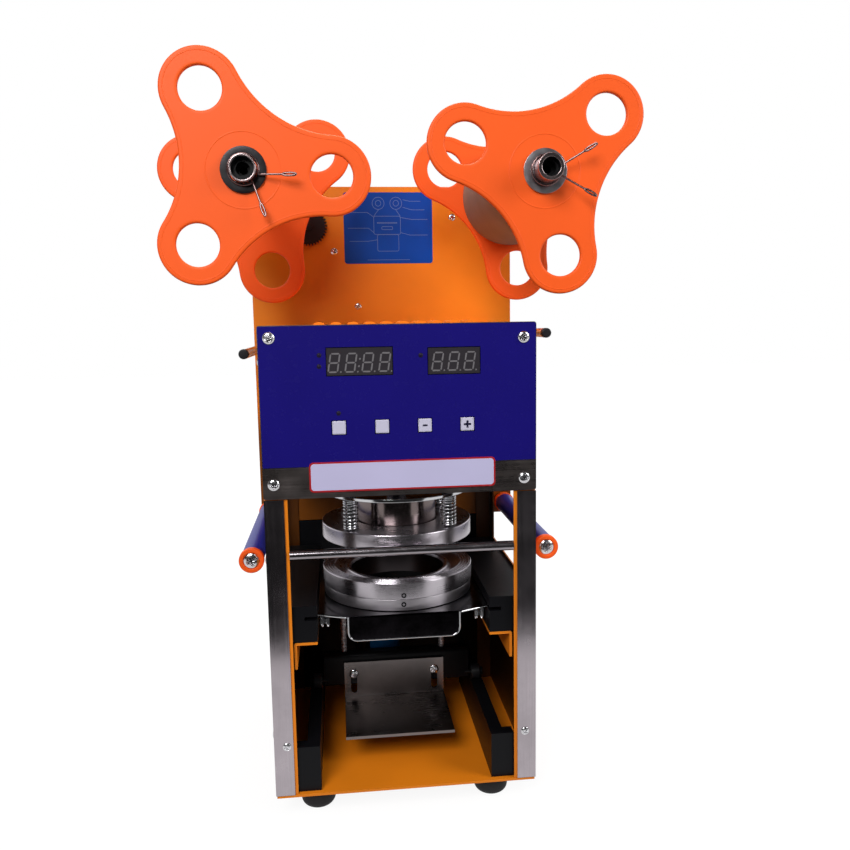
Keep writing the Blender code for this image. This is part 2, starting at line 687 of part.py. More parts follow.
def make_rear_cover():
    """The box behind the back plate, wide above and narrow below, with vents and a hole for the inlet."""
    cover = add_box("rear_cover", (-HALF_WIDTH, COVER_FRONT, SEAT_GAP),
                    (HALF_WIDTH, COVER_BACK, PLATE_LOW + SHEET), ORANGE_PAINT)
    wide, top = PLATE_WIDTH / 2, PLATE_TOP - COVER_INSET
    join(cover, box_mesh("upper_box", (-wide, COVER_FRONT, PLATE_LOW), (wide, COVER_BACK, top)))
    cut(cover, box_mesh("inside", (-HALF_WIDTH + SHEET, COVER_FRONT - SHEET, SEAT_GAP + SHEET),
                        (HALF_WIDTH - SHEET, COVER_BACK - SHEET, PLATE_LOW + 3 * SHEET)))
    cut(cover, box_mesh("upper_inside", (SHEET - wide, COVER_FRONT - SHEET, PLATE_LOW + SHEET),
                        (wide - SHEET, COVER_BACK - SHEET, top - SHEET)))
    for side in (-1, 1):
        for row in range(VENT_COUNT):
            z = VENT_LOW + row * VENT_PITCH
            across = sorted((side * VENT_LENGTH / 4, side * VENT_LENGTH * 5 / 4))
            cut(cover, box_mesh("vent", (across[0], COVER_BACK - 3 * SHEET, z - VENT_WIDTH / 2),
                                (across[1], COVER_BACK + SHEET, z + VENT_WIDTH / 2)))
    hole = INLET_WIDTH / 2 + SEAT_GAP, INLET_HEIGHT / 2 + SEAT_GAP
    cut(cover, box_mesh("inlet_hole", (INLET_X - hole[0], COVER_BACK - 3 * SHEET, INLET_Z - hole[1]),
                        (INLET_X + hole[0], COVER_BACK + SHEET, INLET_Z + hole[1])))


def make_power_inlet():
    """The mains inlet: a socket with a frame against the cover and three flat pins in its well."""
    face = COVER_BACK + SEAT_GAP
    inlet = add_box("power_inlet", (INLET_X - INLET_WIDTH / 2, face - INLET_DEPTH, INLET_Z - INLET_HEIGHT / 2),
                    (INLET_X + INLET_WIDTH / 2, face + 0.0005, INLET_Z + INLET_HEIGHT / 2), BLACK_PLASTIC)
    frame = INLET_WIDTH / 2 + INLET_FRAME, INLET_HEIGHT / 2 + INLET_FRAME
    join(inlet, box_mesh("inlet_frame", (INLET_X - frame[0], face, INLET_Z - frame[1]),
                         (INLET_X + frame[0], face + 0.003, INLET_Z + frame[1])))
    well = INLET_WIDTH / 2 - INLET_WALL, INLET_HEIGHT / 2 - INLET_WALL
    cut(inlet, box_mesh("inlet_well", (INLET_X - well[0], face - 0.017, INLET_Z - well[1]),
                        (INLET_X + well[0], face + 0.006, INLET_Z + well[1])))
    for number in (-1, 0, 1):
        x = INLET_X + number * INLET_PIN_PITCH
        z = INLET_Z + (0.002 if number == 0 else -0.002)
        join(inlet, box_mesh("inlet_pin", (x - INLET_PIN[0] / 2, face - 0.019, z - INLET_PIN[1] / 2),
                             (x + INLET_PIN[0] / 2, face - 0.002, z + INLET_PIN[1] / 2)))


def make_feet():
    """Four round rubber feet with a rounded lower edge and a well for the screw."""
    top = BASE_TOP - BASE_THICKNESS - SEAT_GAP
    corner = (FOOT_RADIUS - FOOT_ROUND, FOOT_ROUND - FOOT_HEIGHT)
    profile = [(0, 0), (FOOT_RADIUS - 0.0010, 0), (FOOT_RADIUS, -0.0010)]
    profile += arc(corner, FOOT_ROUND, 0, -90, 4)
    profile += [(FOOT_SCREW_RADIUS, -FOOT_HEIGHT), (FOOT_SCREW_RADIUS, FOOT_SCREW_DEPTH - FOOT_HEIGHT),
                (0, FOOT_SCREW_DEPTH - FOOT_HEIGHT)]
    number = 0
    for y in (FOOT_MARGIN, COVER_BACK - FOOT_MARGIN):
        for side in (-1, 1):
            number += 1
            add_turned(f"foot_{number}", profile, RUBBER, (side * FOOT_X, y, top), steps=16)


def make_crossbar():
    """The polished bar that spans the front between the folded edges, above the mould."""
    end = HALF_WIDTH - FRONT_FLANGE - SEAT_GAP
    bar = add_piece("crossbar", drum_mesh("crossbar", BAR_RADIUS, (-end, 0, 0), (end, 0, 0), SMALL_STEPS),
                    BRIGHT_STEEL, (0, BAR_Y, BAR_Z))
    smooth_round(bar)


def make_tray_rails():
    """Black rails along the sides, grooved for the tray, and the folded brackets that they lie on."""
    outer = HALF_WIDTH - SHEET - SEAT_GAP
    groove_low = TRAY_TOP - TRAY_THICKNESS - SLIDE_GAP
    groove_high = TRAY_TOP + SLIDE_GAP
    for name, side in (("left", -1), ("right", 1)):
        across = sorted((side * RAIL_INNER_X, side * outer))
        rail = add_box("tray_rail_" + name, (across[0], RAIL_FRONT, RAIL_LOW),
                       (across[1], RAIL_FRONT + RAIL_LENGTH, RAIL_LOW + RAIL_HEIGHT), BLACK_PLASTIC)
        across = sorted((side * (RAIL_INNER_X - 0.002), side * (RAIL_INNER_X + GROOVE_DEPTH)))
        cut(rail, box_mesh("groove", (across[0], RAIL_FRONT - 0.002, groove_low),
                           (across[1], RAIL_FRONT + RAIL_LENGTH + 0.002, groove_high)))
        top = RAIL_LOW - SEAT_GAP
        inner = side * RAIL_INNER_X
        corner = side * (RAIL_INNER_X + BRACKET_WIDTH)
        corners = [(inner, top), (corner, top), (corner, top - BRACKET_LEG)]
        if side > 0:
            corners.reverse()
        bracket = folded_sheet("rail_bracket_" + name, corners, BRACKET_THICKNESS, -RAIL_FRONT - RAIL_LENGTH,
                               -RAIL_FRONT, "XY", ORANGE_PAINT)
        bracket.rotation_euler = (math.pi / 2, 0, 0)


def make_floor_rails():
    """Black bars on the floor that the carriage wheels run on, each with a wider block at its front."""
    rear = FLOOR_RAIL_FRONT + FLOOR_RAIL_LENGTH
    step = FLOOR_RAIL_FRONT + FLOOR_RAIL_BLOCK_LENGTH
    for name, side in (("left", -1), ("right", 1)):
        inner, middle = side * FLOOR_RAIL_X, side * (FLOOR_RAIL_X + FLOOR_RAIL_WIDTH)
        outer = side * (FLOOR_RAIL_X + FLOOR_RAIL_BLOCK)
        outline = [(inner, FLOOR_RAIL_FRONT), (outer, FLOOR_RAIL_FRONT), (outer, step), (middle, step),
                   (middle, rear), (inner, rear)]
        mesh = flat_mesh("floor_rail_" + name, [outline], FLOOR_RAIL_HEIGHT)
        add_piece("floor_rail_" + name, mesh, BLACK_PLASTIC, (0, 0, FLOOR_RAIL_HEIGHT / 2))


def make_mould():
    """The mould: an upper ring with pressed ridges, a sloping face and a round lip, on a plain lower ring."""
    depth = -UPPER_RING_HEIGHT
    profile = [(MOULD_RADIUS - 0.0006, 0), (MOULD_RADIUS, -0.0006), (MOULD_RADIUS, depth), (MOULD_BORE, depth),
               (MOULD_BORE, -0.0050)]
    lip_middle = (MOULD_BORE + LIP_WIDTH / 2, -0.0050)
    profile += arc(lip_middle, LIP_WIDTH / 2, 150, 20, 3)
    profile += [(MOULD_BORE + LIP_WIDTH + 0.0012, -0.0062)]
    inner_ridge = MOULD_RADIUS - 0.0006 - RIDGE_COUNT * RIDGE_PITCH
    profile += [(inner_ridge - 0.0010, -RIDGE_HEIGHT)]
    for ridge in range(RIDGE_COUNT):
        start = inner_ridge + ridge * RIDGE_PITCH
        profile += [(start, 0), (start + RIDGE_PITCH * 0.55, 0), (start + RIDGE_PITCH * 0.75, -RIDGE_HEIGHT)]
    profile.append((MOULD_RADIUS - 0.0010, -RIDGE_HEIGHT))
    add_turned("mould_upper_ring", profile, BRIGHT_STEEL, (0, MOULD_Y, MOULD_TOP), steps=FINE_STEPS, closed=True)
    outer = MOULD_RADIUS - LOWER_RING_STEP
    profile = ring_profile(outer, LOWER_RING_BORE, LOWER_RING_LOW, RING_JOINT - SEAT_GAP)
    add_turned("mould_lower_ring", profile, BRIGHT_STEEL, (0, MOULD_Y, 0), steps=FINE_STEPS, closed=True)


def make_tray():
    """The polished tray: a round plate with a wing each side for the rails, a front lip and two posts."""
    wing = RAIL_INNER_X + TRAY_WING
    lip = TRAY_LIP_WIDTH / 2
    front = TRAY_LIP_Y
    wing_front = TRAY_WING_FRONT
    wing_rear = TRAY_WING_FRONT + TRAY_WING_LENGTH
    right = [(lip, front), (lip + 0.008, front + 0.003)]
    right += [(wing - 0.010, wing_front - 0.006), (wing - 0.003, wing_front - 0.003), (wing, wing_front + 0.002)]
    right += [(wing, wing_rear - 0.004), (wing - 0.004, wing_rear)]
    right += arc((0, MOULD_Y), TRAY_RADIUS, 48, 90, 6)
    left = [(-x, y) for x, y in reversed(right[:-1])]
    hole = round_hole((0, MOULD_Y), LOWER_RING_BORE, FINE_STEPS)
    mesh = flat_mesh("tray_plate", [right + left, hole], TRAY_THICKNESS)
    tray = add_piece("tray_plate", mesh, STAINLESS, (0, 0, TRAY_TOP - TRAY_THICKNESS / 2))
    drop = rounded_rectangle((0, TRAY_TOP - TRAY_LIP_DROP / 2), TRAY_LIP_WIDTH, TRAY_LIP_DROP, TRAY_LIP_CORNER)
    drop = [(x, z if z < TRAY_TOP - TRAY_LIP_CORNER - 1e-6 else TRAY_TOP) for x, z in drop]
    drop = [point for number, point in enumerate(drop) if point != drop[number - 1]]
    join(tray, flat_mesh("tray_lip", [drop], TRAY_THICKNESS), place=(0, front + TRAY_THICKNESS / 2 - 1e-5, -1e-5),
         turn=FACING_FRONT)
    for side in (-1, 1):
        x = SHELF_X + side * POST_X
        join(tray, drum_mesh("post", POST_RADIUS, (x, POST_Y, CROSS_PLATE_TOP + SEAT_GAP),
                             (x, POST_Y, TRAY_TOP - TRAY_THICKNESS / 2), SMALL_STEPS))
        for inset in WING_BOLT_INSETS:
            x = side * (RAIL_INNER_X - inset)
            high = (x, WING_BOLT_Y, TRAY_TOP - TRAY_THICKNESS / 2)
            join(tray, drum_mesh("bolt", WING_BOLT_RADIUS, (x, WING_BOLT_Y, TRAY_TOP - WING_BOLT_LENGTH), high, 8))
            join(tray, drum_mesh("nut", WING_NUT_RADIUS, (x, WING_BOLT_Y, TRAY_TOP - WING_NUT_LOW), high, 6))


def make_cross_plate():
    """The black plate that hangs from the posts, folded back at its top, with a stub axle at each end."""
    reach = FLOOR_RAIL_X - 0.002
    corners = [(CROSS_PLATE_FRONT + CROSS_FLANGE, CROSS_PLATE_TOP), (CROSS_PLATE_FRONT, CROSS_PLATE_TOP),
               (CROSS_PLATE_FRONT, CROSS_PLATE_LOW)]
    plate = folded_sheet("cross_plate", corners, CROSS_PLATE_THICKNESS, -reach, reach, "YZ", BLACK_PLASTIC,
                         CROSS_BEND)
    y, z = wheel_place()
    for side in (-1, 1):
        end = side * (FLOOR_RAIL_X + WHEEL_WIDTH + 0.003)
        join(plate, drum_mesh("axle", WHEEL_BORE - RUN_GAP, (side * (reach - 0.004), y, z), (end, y, z),
                              SMALL_STEPS))
        join(plate, drum_mesh("axle_head", WHEEL_BORE + 0.0015, (end - side * 0.0014, y, z), (end, y, z),
                              SMALL_STEPS))


def wheel_place():
    """A wheel's middle in Y and Z: within the cross plate's thickness and resting on its floor rail."""
    return CROSS_PLATE_FRONT + CROSS_PLATE_THICKNESS / 2, FLOOR_RAIL_HEIGHT + SEAT_GAP + WHEEL_RADIUS


def make_wheels():
    """Two black wheels on the cross plate's stub axles."""
    y, z = wheel_place()
    profile = ring_profile(WHEEL_RADIUS, WHEEL_BORE, -WHEEL_WIDTH / 2, WHEEL_WIDTH / 2)
    for name, side in (("carriage_wheel_left", -1), ("carriage_wheel_right", 1)):
        x = side * (FLOOR_RAIL_X + WHEEL_WIDTH / 2)
        add_turned(name, profile, BLACK_PLASTIC, (x, y, z), (0, math.pi / 2, 0), steps=16, closed=True)


def make_cup_shelf():
    """The cup's support: an angle of dark steel with two slots, so that it can be set for the cup's height."""
    back = CROSS_PLATE_FRONT - SEAT_GAP
    left, right = SHELF_X - SHELF_WIDTH / 2, SHELF_X + SHELF_WIDTH / 2
    shelf = folded_sheet("cup_shelf", [(back - SHELF_DEPTH, SHELF_Z), (back, SHELF_Z), (back, SHELF_TOP)],
                         SHELF_THICKNESS, left, right, "YZ", DARK_STEEL, 0.0035)
    low = SHELF_TOP - 0.008 - SLOT_LENGTH
    for x in (left + SLOT_INSET, right - SLOT_INSET):
        slot = rounded_rectangle((x, low + SLOT_LENGTH / 2), SLOT_WIDTH, SLOT_LENGTH, SLOT_WIDTH / 2 - 1e-5, 4)
        cut(shelf, flat_mesh("slot", [slot], 3 * SHELF_THICKNESS), place=(0, back - SHELF_THICKNESS / 2, 0),
            turn=FACING_FRONT)


def make_tray_motor():
    """The upright motor behind the carriage that drives the tray."""
    shoulder = TRAY_MOTOR_HEIGHT - 0.004
    profile = [(0, TRAY_MOTOR_HEIGHT), (0.006, TRAY_MOTOR_HEIGHT), (0.006, shoulder),
               (TRAY_MOTOR_RADIUS - 0.002, shoulder), (TRAY_MOTOR_RADIUS, shoulder - 0.002),
               (TRAY_MOTOR_RADIUS, 0), (0, 0)]
    add_turned("tray_motor", profile, BRIGHT_STEEL, (TRAY_MOTOR_X, TRAY_MOTOR_Y, SEAT_GAP), steps=ROUND_STEPS)


def pin_places():
    """The four guide pins' middles, at 45 degrees round the head."""
    return [(PIN_CIRCLE * math.cos(math.radians(a)), MOULD_Y + PIN_CIRCLE * math.sin(math.radians(a)))
            for a in (45, 135, 225, 315)]


def make_press_head():
    """The head plate with its ram, the heater block under it and the sprung pressing disc round the block."""
    outline = arc((0, 0), HEAD_PLATE_RADIUS, 0, 360 * (FINE_STEPS - 1) / FINE_STEPS, FINE_STEPS - 1)
    holes = [round_hole((x, y - MOULD_Y), PIN_RADIUS + RUN_GAP, SMALL_STEPS) for x, y in pin_places()]
    mesh = flat_mesh("head_plate", [outline] + holes, HEAD_PLATE_THICKNESS)
    middle = HEAD_PLATE_LOW + HEAD_PLATE_THICKNESS / 2
    plate = add_piece("head_plate", mesh, BRIGHT_STEEL, (0, MOULD_Y, middle))
    join(plate, drum_mesh("ram", RAM_RADIUS, (0, 0, middle), (0, 0, HEAD_PLATE_TOP + RAM_LENGTH)),
         place=(0, MOULD_Y, 0))
    high = HEAD_PLATE_LOW - SEAT_GAP
    profile = [(0, high), (HEATER_RADIUS, high), (HEATER_RADIUS, HEATER_LOW + 0.001),
               (HEATER_RADIUS - 0.001, HEATER_LOW), (0, HEATER_LOW)]
    add_turned("heater_block", profile, BRIGHT_STEEL, (0, MOULD_Y, 0), steps=FINE_STEPS)
    bore = HEATER_RADIUS + DISC_BORE_GAP
    profile = [(DISC_RADIUS - 0.0008, DISC_TOP), (DISC_RADIUS, DISC_TOP - 0.0008), (DISC_RADIUS, DISC_LOW + 0.0008),
               (DISC_RADIUS - 0.0008, DISC_LOW), (bore, DISC_LOW), (bore, DISC_TOP)]
    disc = add_turned("pressing_disc", profile, BRIGHT_STEEL, (0, MOULD_Y, 0), steps=FINE_STEPS, closed=True)
    nut_low = HEAD_PLATE_TOP + SEAT_GAP
    for x, y in pin_places():
        join(disc, drum_mesh("pin", PIN_RADIUS, (x, y, DISC_TOP - 0.003), (x, y, nut_low + PIN_SPARE), SMALL_STEPS))
        join(disc, drum_mesh("nut", PIN_NUT_RADIUS, (x, y, nut_low), (x, y, nut_low + PIN_NUT_HEIGHT), 6))


def make_springs():
    """Four coil springs on the guide pins, between the pressing disc and the head plate."""
    low = DISC_TOP + SPRING_WIRE + SEAT_GAP
    high = HEAD_PLATE_LOW - SPRING_WIRE - SEAT_GAP
    steps = 7 * SPRING_TURNS
    for number, (x, y) in enumerate(pin_places(), 1):
        curve = bpy.data.curves.new(f"press_spring_{number}", "CURVE")
        curve.dimensions = "3D"
        curve.bevel_depth = SPRING_WIRE
        curve.bevel_resolution = 0
        curve.use_fill_caps = True
        spline = curve.splines.new("POLY")
        spline.points.add(steps)
        for step, point in enumerate(spline.points):
            angle = 2 * math.pi * SPRING_TURNS * step / steps
            rise = low + (high - low) * step / steps
            point.co = (SPRING_RADIUS * math.cos(angle), SPRING_RADIUS * math.sin(angle), rise, 1.0)
        spring = bpy.data.objects.new(f"press_spring_{number}", curve)
        machine_pieces.objects.link(spring)
        spring.parent = machine
        spring.location = (x, y, 0)
        curve.materials.append(BRIGHT_STEEL)


def make_press_bridge():
    """The bridge between the sides with the ram's guide bush, and the press motor on it."""
    edge = HALF_WIDTH - SHEET - SEAT_GAP
    rear = BRIDGE_FRONT + BRIDGE_LENGTH
    corners = [(edge, BRIDGE_Z - BRIDGE_FLANGE), (edge, BRIDGE_Z), (-edge, BRIDGE_Z),
               (-edge, BRIDGE_Z - BRIDGE_FLANGE)]
    bridge = folded_sheet("press_bridge", corners, BRIDGE_THICKNESS, -rear, -BRIDGE_FRONT, "XY", STAINLESS,
                          BRIDGE_BEND)
    bridge.rotation_euler = (math.pi / 2, 0, 0)
    join(bridge, drum_mesh("bush", BUSH_RADIUS, (0, MOULD_Y, BRIDGE_Z - BRIDGE_THICKNESS / 2),
                           (0, MOULD_Y, BRIDGE_Z + BUSH_HEIGHT)))
    bore = (RAM_RADIUS + RUN_GAP) / math.cos(math.pi / ROUND_STEPS)
    cut(bridge, drum_mesh("bore", bore, (0, MOULD_Y, BRIDGE_Z - 0.01), (0, MOULD_Y, BRIDGE_Z + 0.03)))
    width, length, height = PRESS_MOTOR_SIZE
    low = BRIDGE_Z + SEAT_GAP
    motor = add_box("press_motor", (PRESS_MOTOR_X - width / 2, MOULD_Y - length / 2, low),
                    (PRESS_MOTOR_X + width / 2, MOULD_Y + length / 2, low + height), DARK_STEEL, 0.002)
    shaft = PRESS_MOTOR_X - width / 2
    join(motor, drum_mesh("shaft", 0.005, (shaft - 0.018, MOULD_Y, low + 0.040),
                          (shaft + 0.010, MOULD_Y, low + 0.040), SMALL_STEPS))


def waist_radius():
    """The radius of the hollow side between two lobes, which meets both lobes without a corner."""
    top = LOBE_RADIUS ** 2 - WAIST ** 2 - LOBE_REACH ** 2 + LOBE_REACH * WAIST
    return top / (2 * WAIST - LOBE_REACH - 2 * LOBE_RADIUS)


def spider_outline(angles):
    """A three-lobed outline: a round end on each lobe and a hollow arc from each lobe to the next."""
    hollow = waist_radius()
    middle_distance = WAIST + hollow
    points = []
    for number, angle in enumerate(angles):
        lobe = (LOBE_REACH * math.cos(math.radians(angle)), LOBE_REACH * math.sin(math.radians(angle)))
        between = math.radians(angle + 60)
        hollow_middle = (middle_distance * math.cos(between), middle_distance * math.sin(between))
        tangent = math.degrees(math.atan2(hollow_middle[1] - lobe[1], hollow_middle[0] - lobe[0]))
        turn = (tangent - angle + 180) % 360 - 180
        points += arc(lobe, LOBE_RADIUS, angle - turn, angle + turn, 9)
        half = math.degrees(math.atan2(LOBE_REACH * math.sin(math.radians(60)),
                                       middle_distance - LOBE_REACH * math.cos(math.radians(60))))
        facing = angle + 60 + 180
        points += arc(hollow_middle, hollow, facing + half, facing - half, 5)[1:-1]
    return points


def add_flange(name, side, front, angles):
    """One moulded reel flange: a three-lobed plate with a hole in each lobe."""
    holes = [round_hole((0, 0), SHAFT_RADIUS + RUN_GAP)]
    for angle in angles:
        middle = (LOBE_REACH * math.cos(math.radians(angle)), LOBE_REACH * math.sin(math.radians(angle)))
        holes.append(arc(middle, LOBE_HOLE, 0, 360 * (HOLE_STEPS - 1) / HOLE_STEPS, HOLE_STEPS - 1))
    mesh = flat_mesh(name, [spider_outline(angles)] + holes, FLANGE_THICKNESS)
    flange = add_piece(name, mesh, ORANGE_PLASTIC, (side * REEL_X, front + FLANGE_THICKNESS / 2, REEL_Z),
                       FACING_FRONT)
    smooth_round(flange)


def add_shaft(name, side, nose):
    """A reel shaft: a tube end at the front, a shoulder behind the rear flange and a collar behind the plate."""
    front = nose - REEL_FRONT
    shoulder = -(REEL_REAR + FLANGE_THICKNESS + SEAT_GAP)
    behind = -(PLATE_BACK + SEAT_GAP)
    profile = [(0, front - SHAFT_BORE_DEPTH), (SHAFT_BORE, front - SHAFT_BORE_DEPTH), (SHAFT_BORE, front),
               (SHAFT_RADIUS - 0.0004, front), (SHAFT_RADIUS, front - 0.0004), (SHAFT_RADIUS, shoulder),
               (SHAFT_COLLAR, shoulder), (SHAFT_COLLAR, shoulder - SHAFT_COLLAR_LENGTH),
               (SHAFT_RADIUS, shoulder - SHAFT_COLLAR_LENGTH), (SHAFT_RADIUS, behind), (SHAFT_COLLAR, behind),
               (SHAFT_COLLAR, behind - SHAFT_COLLAR_LENGTH), (0, behind - SHAFT_COLLAR_LENGTH)]
    add_turned(name, profile, BRIGHT_STEEL, (side * REEL_X, 0, REEL_Z), FACING_FRONT)


def make_reels():
    """The take-up reel on the left and the supply reel, with its empty core, on the right."""
    washer = ring_profile(WASHER_RADIUS, SHAFT_RADIUS + RUN_GAP, 0, WASHER_THICKNESS)
    washer_back = REEL_FRONT - SEAT_GAP
    for reel, side, nose, front_angles, rear_angles in (
            ("take_up", -1, TAKE_UP_NOSE, TAKE_UP_FRONT_ANGLES, TAKE_UP_REAR_ANGLES),
            ("supply", 1, SUPPLY_NOSE, SUPPLY_FRONT_ANGLES, SUPPLY_REAR_ANGLES)):
        add_flange(reel + "_front_flange", side, REEL_FRONT, front_angles)
        add_flange(reel + "_rear_flange", side, REEL_REAR, rear_angles)
        add_shaft(reel + "_shaft", side, nose)
        add_turned(reel + "_washer", washer, DARK_STEEL, (side * REEL_X, washer_back, REEL_Z), FACING_FRONT,
                   closed=True)
    core_front = REEL_FRONT + FLANGE_THICKNESS + SEAT_GAP
    core_rear = REEL_REAR - SEAT_GAP
    core = ring_profile(CORE_RADIUS, CORE_RADIUS - CORE_WALL, 0, core_rear - core_front)
    add_turned("supply_core", core, GREY_TUBE, (REEL_X, core_rear, REEL_Z), FACING_FRONT, steps=FINE_STEPS,
               closed=True)


def gear_outline(teeth, first_angle):
    """An involute gear's outline. Each flank runs straight between two points of the base circle's involute."""
    pitch = GEAR_MODULE * teeth / 2
    base = pitch * math.cos(math.radians(20))
    tip, root = pitch + 0.95 * GEAR_MODULE, pitch - 1.25 * GEAR_MODULE
    half_at_pitch = (math.pi * GEAR_MODULE / 2 - GEAR_BACKLASH) / 2 / pitch

    def involute(radius):
        roll = math.sqrt(max((radius / base) ** 2 - 1, 0))
        return roll - math.atan(roll)

    radii = [root, tip]
    halves = [half_at_pitch + involute(pitch) - involute(max(radius, base)) for radius in radii]
    points = []
    for tooth in range(teeth):
        middle = math.radians(first_angle) + 2 * math.pi * tooth / teeth
        flank = list(zip(radii, halves))
        for radius, half in flank:
            points.append((radius * math.cos(middle - half), radius * math.sin(middle - half)))
        for radius, half in reversed(flank):
            points.append((radius * math.cos(middle + half), radius * math.sin(middle + half)))
    return points


def make_film_drive():
    """The gear pair that turns the take-up reel, and the small motor behind the back plate."""
    face_middle = PLATE_FRONT - SEAT_GAP - GEAR_FACE / 2 - 0.0005
    line = GEAR_LINE_ANGLE
    holes = [round_hole((0, 0), SHAFT_RADIUS + RUN_GAP)]
    take_up = flat_mesh("take_up_gear", [gear_outline(TAKE_UP_TEETH, line)] + holes, GEAR_FACE)
    add_piece("take_up_gear", take_up, BLACK_PLASTIC, (-REEL_X, face_middle, REEL_Z), FACING_FRONT)
    x, z = film_gear_place()
    drive = flat_mesh("drive_gear", [gear_outline(DRIVE_TEETH, line + 180 + 180 / DRIVE_TEETH)], GEAR_FACE)
    gear = add_piece("drive_gear", drive, BLACK_PLASTIC, (x, face_middle, z), FACING_FRONT)
    motor_face = PLATE_BACK + SEAT_GAP
    join(gear, drum_mesh("drive_shaft", DRIVE_SHAFT_RADIUS, (x, face_middle - GEAR_FACE / 2 - 0.003, z),
                         (x, motor_face - SEAT_GAP, z), SMALL_STEPS))
    profile = [(0, 0), (FILM_MOTOR_RADIUS - 0.001, 0), (FILM_MOTOR_RADIUS, -0.001),
               (FILM_MOTOR_RADIUS, -FILM_MOTOR_LENGTH), (0, -FILM_MOTOR_LENGTH)]
    add_turned("film_motor", profile, BRIGHT_STEEL, (x, motor_face, z), FACING_FRONT)


def make_rollers():
    """Two film rollers on stub shafts in the back plate, each with wider caps and a recess for its screw."""
    rear = PLATE_FRONT - SEAT_GAP - 0.0015
    length = rear - ROLLER_FRONT
    profile = [(0, -ROLLER_SCREW_DEPTH), (ROLLER_SCREW_RADIUS, -ROLLER_SCREW_DEPTH), (ROLLER_SCREW_RADIUS, 0),
               (ROLLER_CAP_RADIUS - 0.001, 0), (ROLLER_CAP_RADIUS, -0.001), (ROLLER_CAP_RADIUS, -ROLLER_CAP_LENGTH),
               (ROLLER_RADIUS, -ROLLER_CAP_LENGTH), (ROLLER_RADIUS, ROLLER_CAP_LENGTH - length),
               (ROLLER_CAP_RADIUS, ROLLER_CAP_LENGTH - length), (ROLLER_CAP_RADIUS, -length),
               (ROLLER_STUB, -length), (ROLLER_STUB, -length - 0.008), (0, -length - 0.008)]
    for name, side in (("film_roller_left", -1), ("film_roller_right", 1)):
        add_turned(name, profile, BLUE_PLASTIC, (side * ROLLER_X, ROLLER_FRONT, ROLLER_Z), FACING_FRONT)


def make_guide_rods():
    """Two polished rods on the back plate that lead the film to the reels."""
    for name, side, z in (("guide_rod_left", -1, ROD_LEFT_Z), ("guide_rod_right", 1, ROD_RIGHT_Z)):
        rear = PLATE_FRONT - SEAT_GAP
        profile = [(0, 0), (ROD_RADIUS - 0.0008, 0), (ROD_RADIUS, -0.0008), (ROD_RADIUS, ROD_FRONT - rear),
                   (0, ROD_FRONT - rear)]
        add_turned(name, profile, BRIGHT_STEEL, (side * ROD_X, ROD_FRONT, z), FACING_FRONT, steps=SMALL_STEPS)


def stand_on_origin():
    """Moves the machine so that the middle of its outline is over the world's origin and its feet are at zero."""
    bpy.context.view_layer.update()
    graph = bpy.context.evaluated_depsgraph_get()
    points = []
    for piece in machine_pieces.objects:
        if piece.type != "EMPTY":
            shape = bpy.data.meshes.new_from_object(piece.evaluated_get(graph))
            shape.transform(piece.matrix_world)
            points += [tuple(vertex.co) for vertex in shape.vertices]
            bpy.data.meshes.remove(shape)
    low = [min(point[axis] for point in points) for axis in range(3)]
    high = [max(point[axis] for point in points) for axis in range(3)]
    machine.location = (-(low[0] + high[0]) / 2, -(low[1] + high[1]) / 2, -low[2])


make_base()
make_side_panels()
make_front_strips()
make_control_panel()
make_circuit_board()
make_keys()
make_top_cover()
make_back_plate()
make_rear_cover()
make_power_inlet()
make_feet()
make_crossbar()
make_tray_rails()
make_floor_rails()
make_mould()
make_tray()
make_cross_plate()
make_wheels()
make_cup_shelf()
make_tray_motor()
make_press_head()
make_springs()
make_press_bridge()
make_reels()
make_film_drive()
make_rollers()
make_guide_rods()
stand_on_origin()
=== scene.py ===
"""The cup sealing machine in a white studio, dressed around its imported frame."""
import math

import bmesh
import bpy
import numpy as np
from mathutils import Matrix, Vector
from mathutils.geometry import tessellate_polygon


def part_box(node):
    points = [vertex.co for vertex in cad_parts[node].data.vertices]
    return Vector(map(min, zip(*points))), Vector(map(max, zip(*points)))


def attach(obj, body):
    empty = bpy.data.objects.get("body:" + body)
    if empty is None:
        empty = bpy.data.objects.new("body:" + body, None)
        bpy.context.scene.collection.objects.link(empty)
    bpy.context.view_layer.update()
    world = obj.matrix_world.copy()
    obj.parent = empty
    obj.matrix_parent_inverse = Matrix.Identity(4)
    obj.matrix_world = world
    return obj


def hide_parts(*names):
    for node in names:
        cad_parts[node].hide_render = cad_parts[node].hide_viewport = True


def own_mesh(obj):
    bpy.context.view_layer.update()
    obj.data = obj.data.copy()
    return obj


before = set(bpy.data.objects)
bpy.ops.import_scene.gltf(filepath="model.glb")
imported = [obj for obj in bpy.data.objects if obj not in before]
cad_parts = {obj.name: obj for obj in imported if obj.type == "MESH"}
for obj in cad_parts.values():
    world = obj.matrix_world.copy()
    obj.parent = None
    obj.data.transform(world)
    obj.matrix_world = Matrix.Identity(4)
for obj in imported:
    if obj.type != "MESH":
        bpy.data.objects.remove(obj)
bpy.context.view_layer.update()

# The camera stands a little left of the machine and above its panel, 63 cm in front of it,
# and looks slightly down and to the right, as in the photograph.
scene = bpy.context.scene
camera_place = (-0.0438, -0.7487, 0.4135)
camera_data = bpy.data.cameras.new("studio_camera")
camera_data.lens = 33.82
camera_data.sensor_width = 36.0
camera_data.clip_start = 0.01
camera = bpy.data.objects.new("studio_camera", camera_data)
scene.collection.objects.link(camera)
look = Vector((0.1052, 0.9862, -0.1276)).normalized()
camera_up = Vector((0.0299, 0.1251, 0.9917))
camera_right = look.cross(camera_up).normalized()
camera_up = camera_right.cross(look)
camera.matrix_world = Matrix.Translation(camera_place) @ Matrix(
    (camera_right, camera_up, -look)).transposed().to_4x4()
scene.camera = camera


